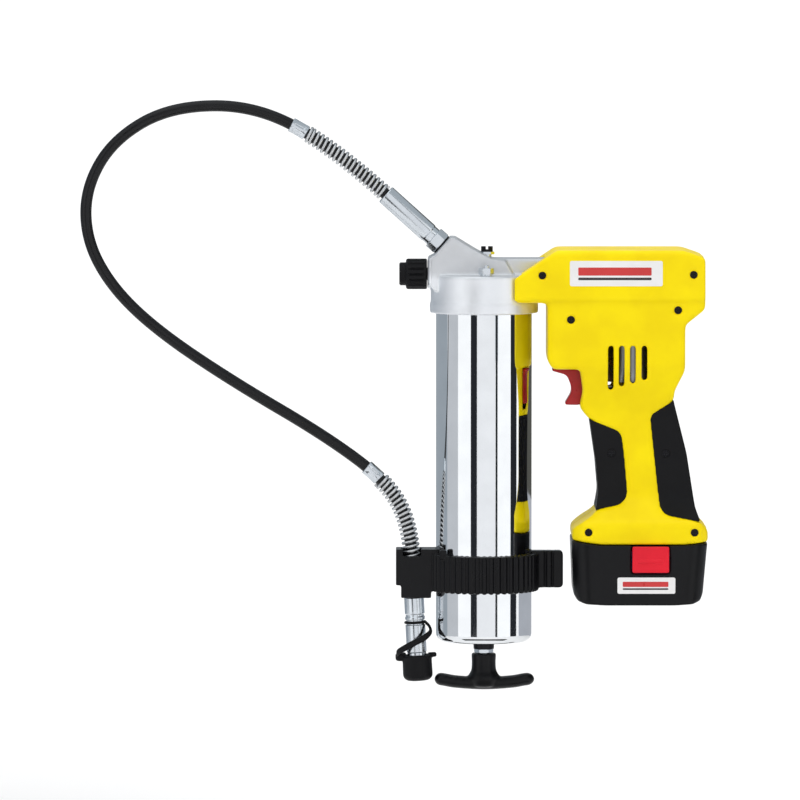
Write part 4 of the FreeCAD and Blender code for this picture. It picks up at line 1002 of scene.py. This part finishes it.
# Cards round the object: first and last bearing in degrees, lower and upper edge, shade.
CARDS = [
    (-172, -99, FLOOR_HEIGHT, CARD_TOP, "grey_card"),
    (-99, -65, FLOOR_HEIGHT, CARD_TOP, "silver_card"),
    (-65, -32, FLOOR_HEIGHT, CARD_TOP, "softbox"),
    (-32, -17, FLOOR_HEIGHT, CARD_TOP, "black_flag"),
    (-17, 26, FLOOR_HEIGHT, CARD_TOP, "pale_panel"),
    (27, 32, FLOOR_HEIGHT, CARD_TOP, "black_flag"),
    (33, 66, FLOOR_HEIGHT, CARD_TOP, "softbox"),
    (66, 84, FLOOR_HEIGHT, CARD_TOP, "black_flag"),
    (92, 165, FLOOR_HEIGHT, CARD_MIDDLE, "low_card"),
    (113, 126, CARD_MIDDLE, CARD_TOP, "black_flag"),
    (126, 165, CARD_MIDDLE, CARD_TOP, "dark_card"),
]


def soft_light(name, place, size, energy):
    """A square area light aimed at the origin, unseen by the camera."""
    light = bpy.data.lights.new(name, "AREA")
    light.shape = "RECTANGLE"
    light.size = size
    light.size_y = size
    light.energy = energy
    lamp = bpy.data.objects.new(name, light)
    lamp.location = place
    lamp.rotation_euler = Vector(place).to_track_quat("Z", "Y").to_euler()
    scene.collection.objects.link(lamp)
    lamp.visible_camera = False
    return lamp


def make_studio():
    corners = [(x * FLOOR_REACH, y * FLOOR_REACH, FLOOR_HEIGHT)
               for x, y in ((-1, -1), (1, -1), (1, 1), (-1, 1))]
    floor_mesh = bpy.data.meshes.new("studio_floor")
    floor_mesh.from_pydata(corners, [], [(0, 1, 2, 3)])
    floor_mesh.materials.append(flat_material("floor_paper", (0.95, 0.95, 0.95)))
    floor = bpy.data.objects.new("studio_floor", floor_mesh)
    scene.collection.objects.link(floor)

    shades = {name: flat_material(name, colour, glow=True)
              for name, colour in CARD_SHADES.items()}
    for number, (start, end, low, high, shade) in enumerate(CARDS):
        panel("card_" + str(number), start, end, (CARD_REACH, low), (CARD_REACH, high),
              shades[shade])
    on_floor = FLOOR_HEIGHT + 0.002
    flag = panel("floor_flag", -62, 66, (0.24, on_floor), (0.46, on_floor),
                 shades["black_flag"])
    flag.visible_diffuse = False
    flag.visible_shadow = False

    # White all round, and greyer in reflections.
    world = bpy.data.worlds.new("studio")
    world.use_nodes = True
    nodes, links = world.node_tree.nodes, world.node_tree.links
    background = nodes["Background"]
    background.inputs["Color"].default_value = (1.0, 1.0, 1.0, 1)
    background.inputs["Strength"].default_value = 1.18
    dimmer = nodes.new("ShaderNodeBackground")
    dimmer.inputs["Color"].default_value = (0.46, 0.50, 0.53, 1)
    rays = nodes.new("ShaderNodeLightPath")
    mix = nodes.new("ShaderNodeMixShader")
    links.new(rays.outputs["Is Glossy Ray"], mix.inputs["Fac"])
    links.new(background.outputs["Background"], mix.inputs[1])
    links.new(dimmer.outputs["Background"], mix.inputs[2])
    links.new(mix.outputs["Shader"], nodes["World Output"].inputs["Surface"])
    scene.world = world

    soft_light("top_light", (-0.5, -0.6, 2.2), 2.4, 12.0)
    front = soft_light("front_light", (0.1, -1.35, 0.25), 1.2, 1.0)
    front.visible_glossy = False


def make_camera():
    """Far away and slightly above, as the object is seen almost without perspective."""
    camera = bpy.data.cameras.new("camera")
    camera.lens = 340.9
    camera.sensor_width = 36.0
    camera.clip_end = 1000.0
    viewer = bpy.data.objects.new("camera", camera)
    viewer.location = (-0.0554, -4.9884, 0.3632)
    viewer.rotation_euler = (math.radians(90 - 3.9), 0, 0)
    scene.collection.objects.link(viewer)
    scene.camera = viewer


scene.view_settings.view_transform = "Standard"
make_camera()
hose, hose_points = make_hose()
hose_path = Path(hose_points)
on_hose = make_guards(hose_path)
on_hose += make_coupler()
on_hose.append(make_dust_cap())
on_hose.append(make_strap())
on_hose.append(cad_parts["coupler_jaws"])
make_barrel()
make_pump_head()
make_valves()
make_filler_cap()
make_outlet()
make_clip()
make_rod_fittings()
make_handle()
make_housing()
make_labels()
make_trigger()
make_battery()
make_follower_spring()
dress_inner_parts()
make_studio()
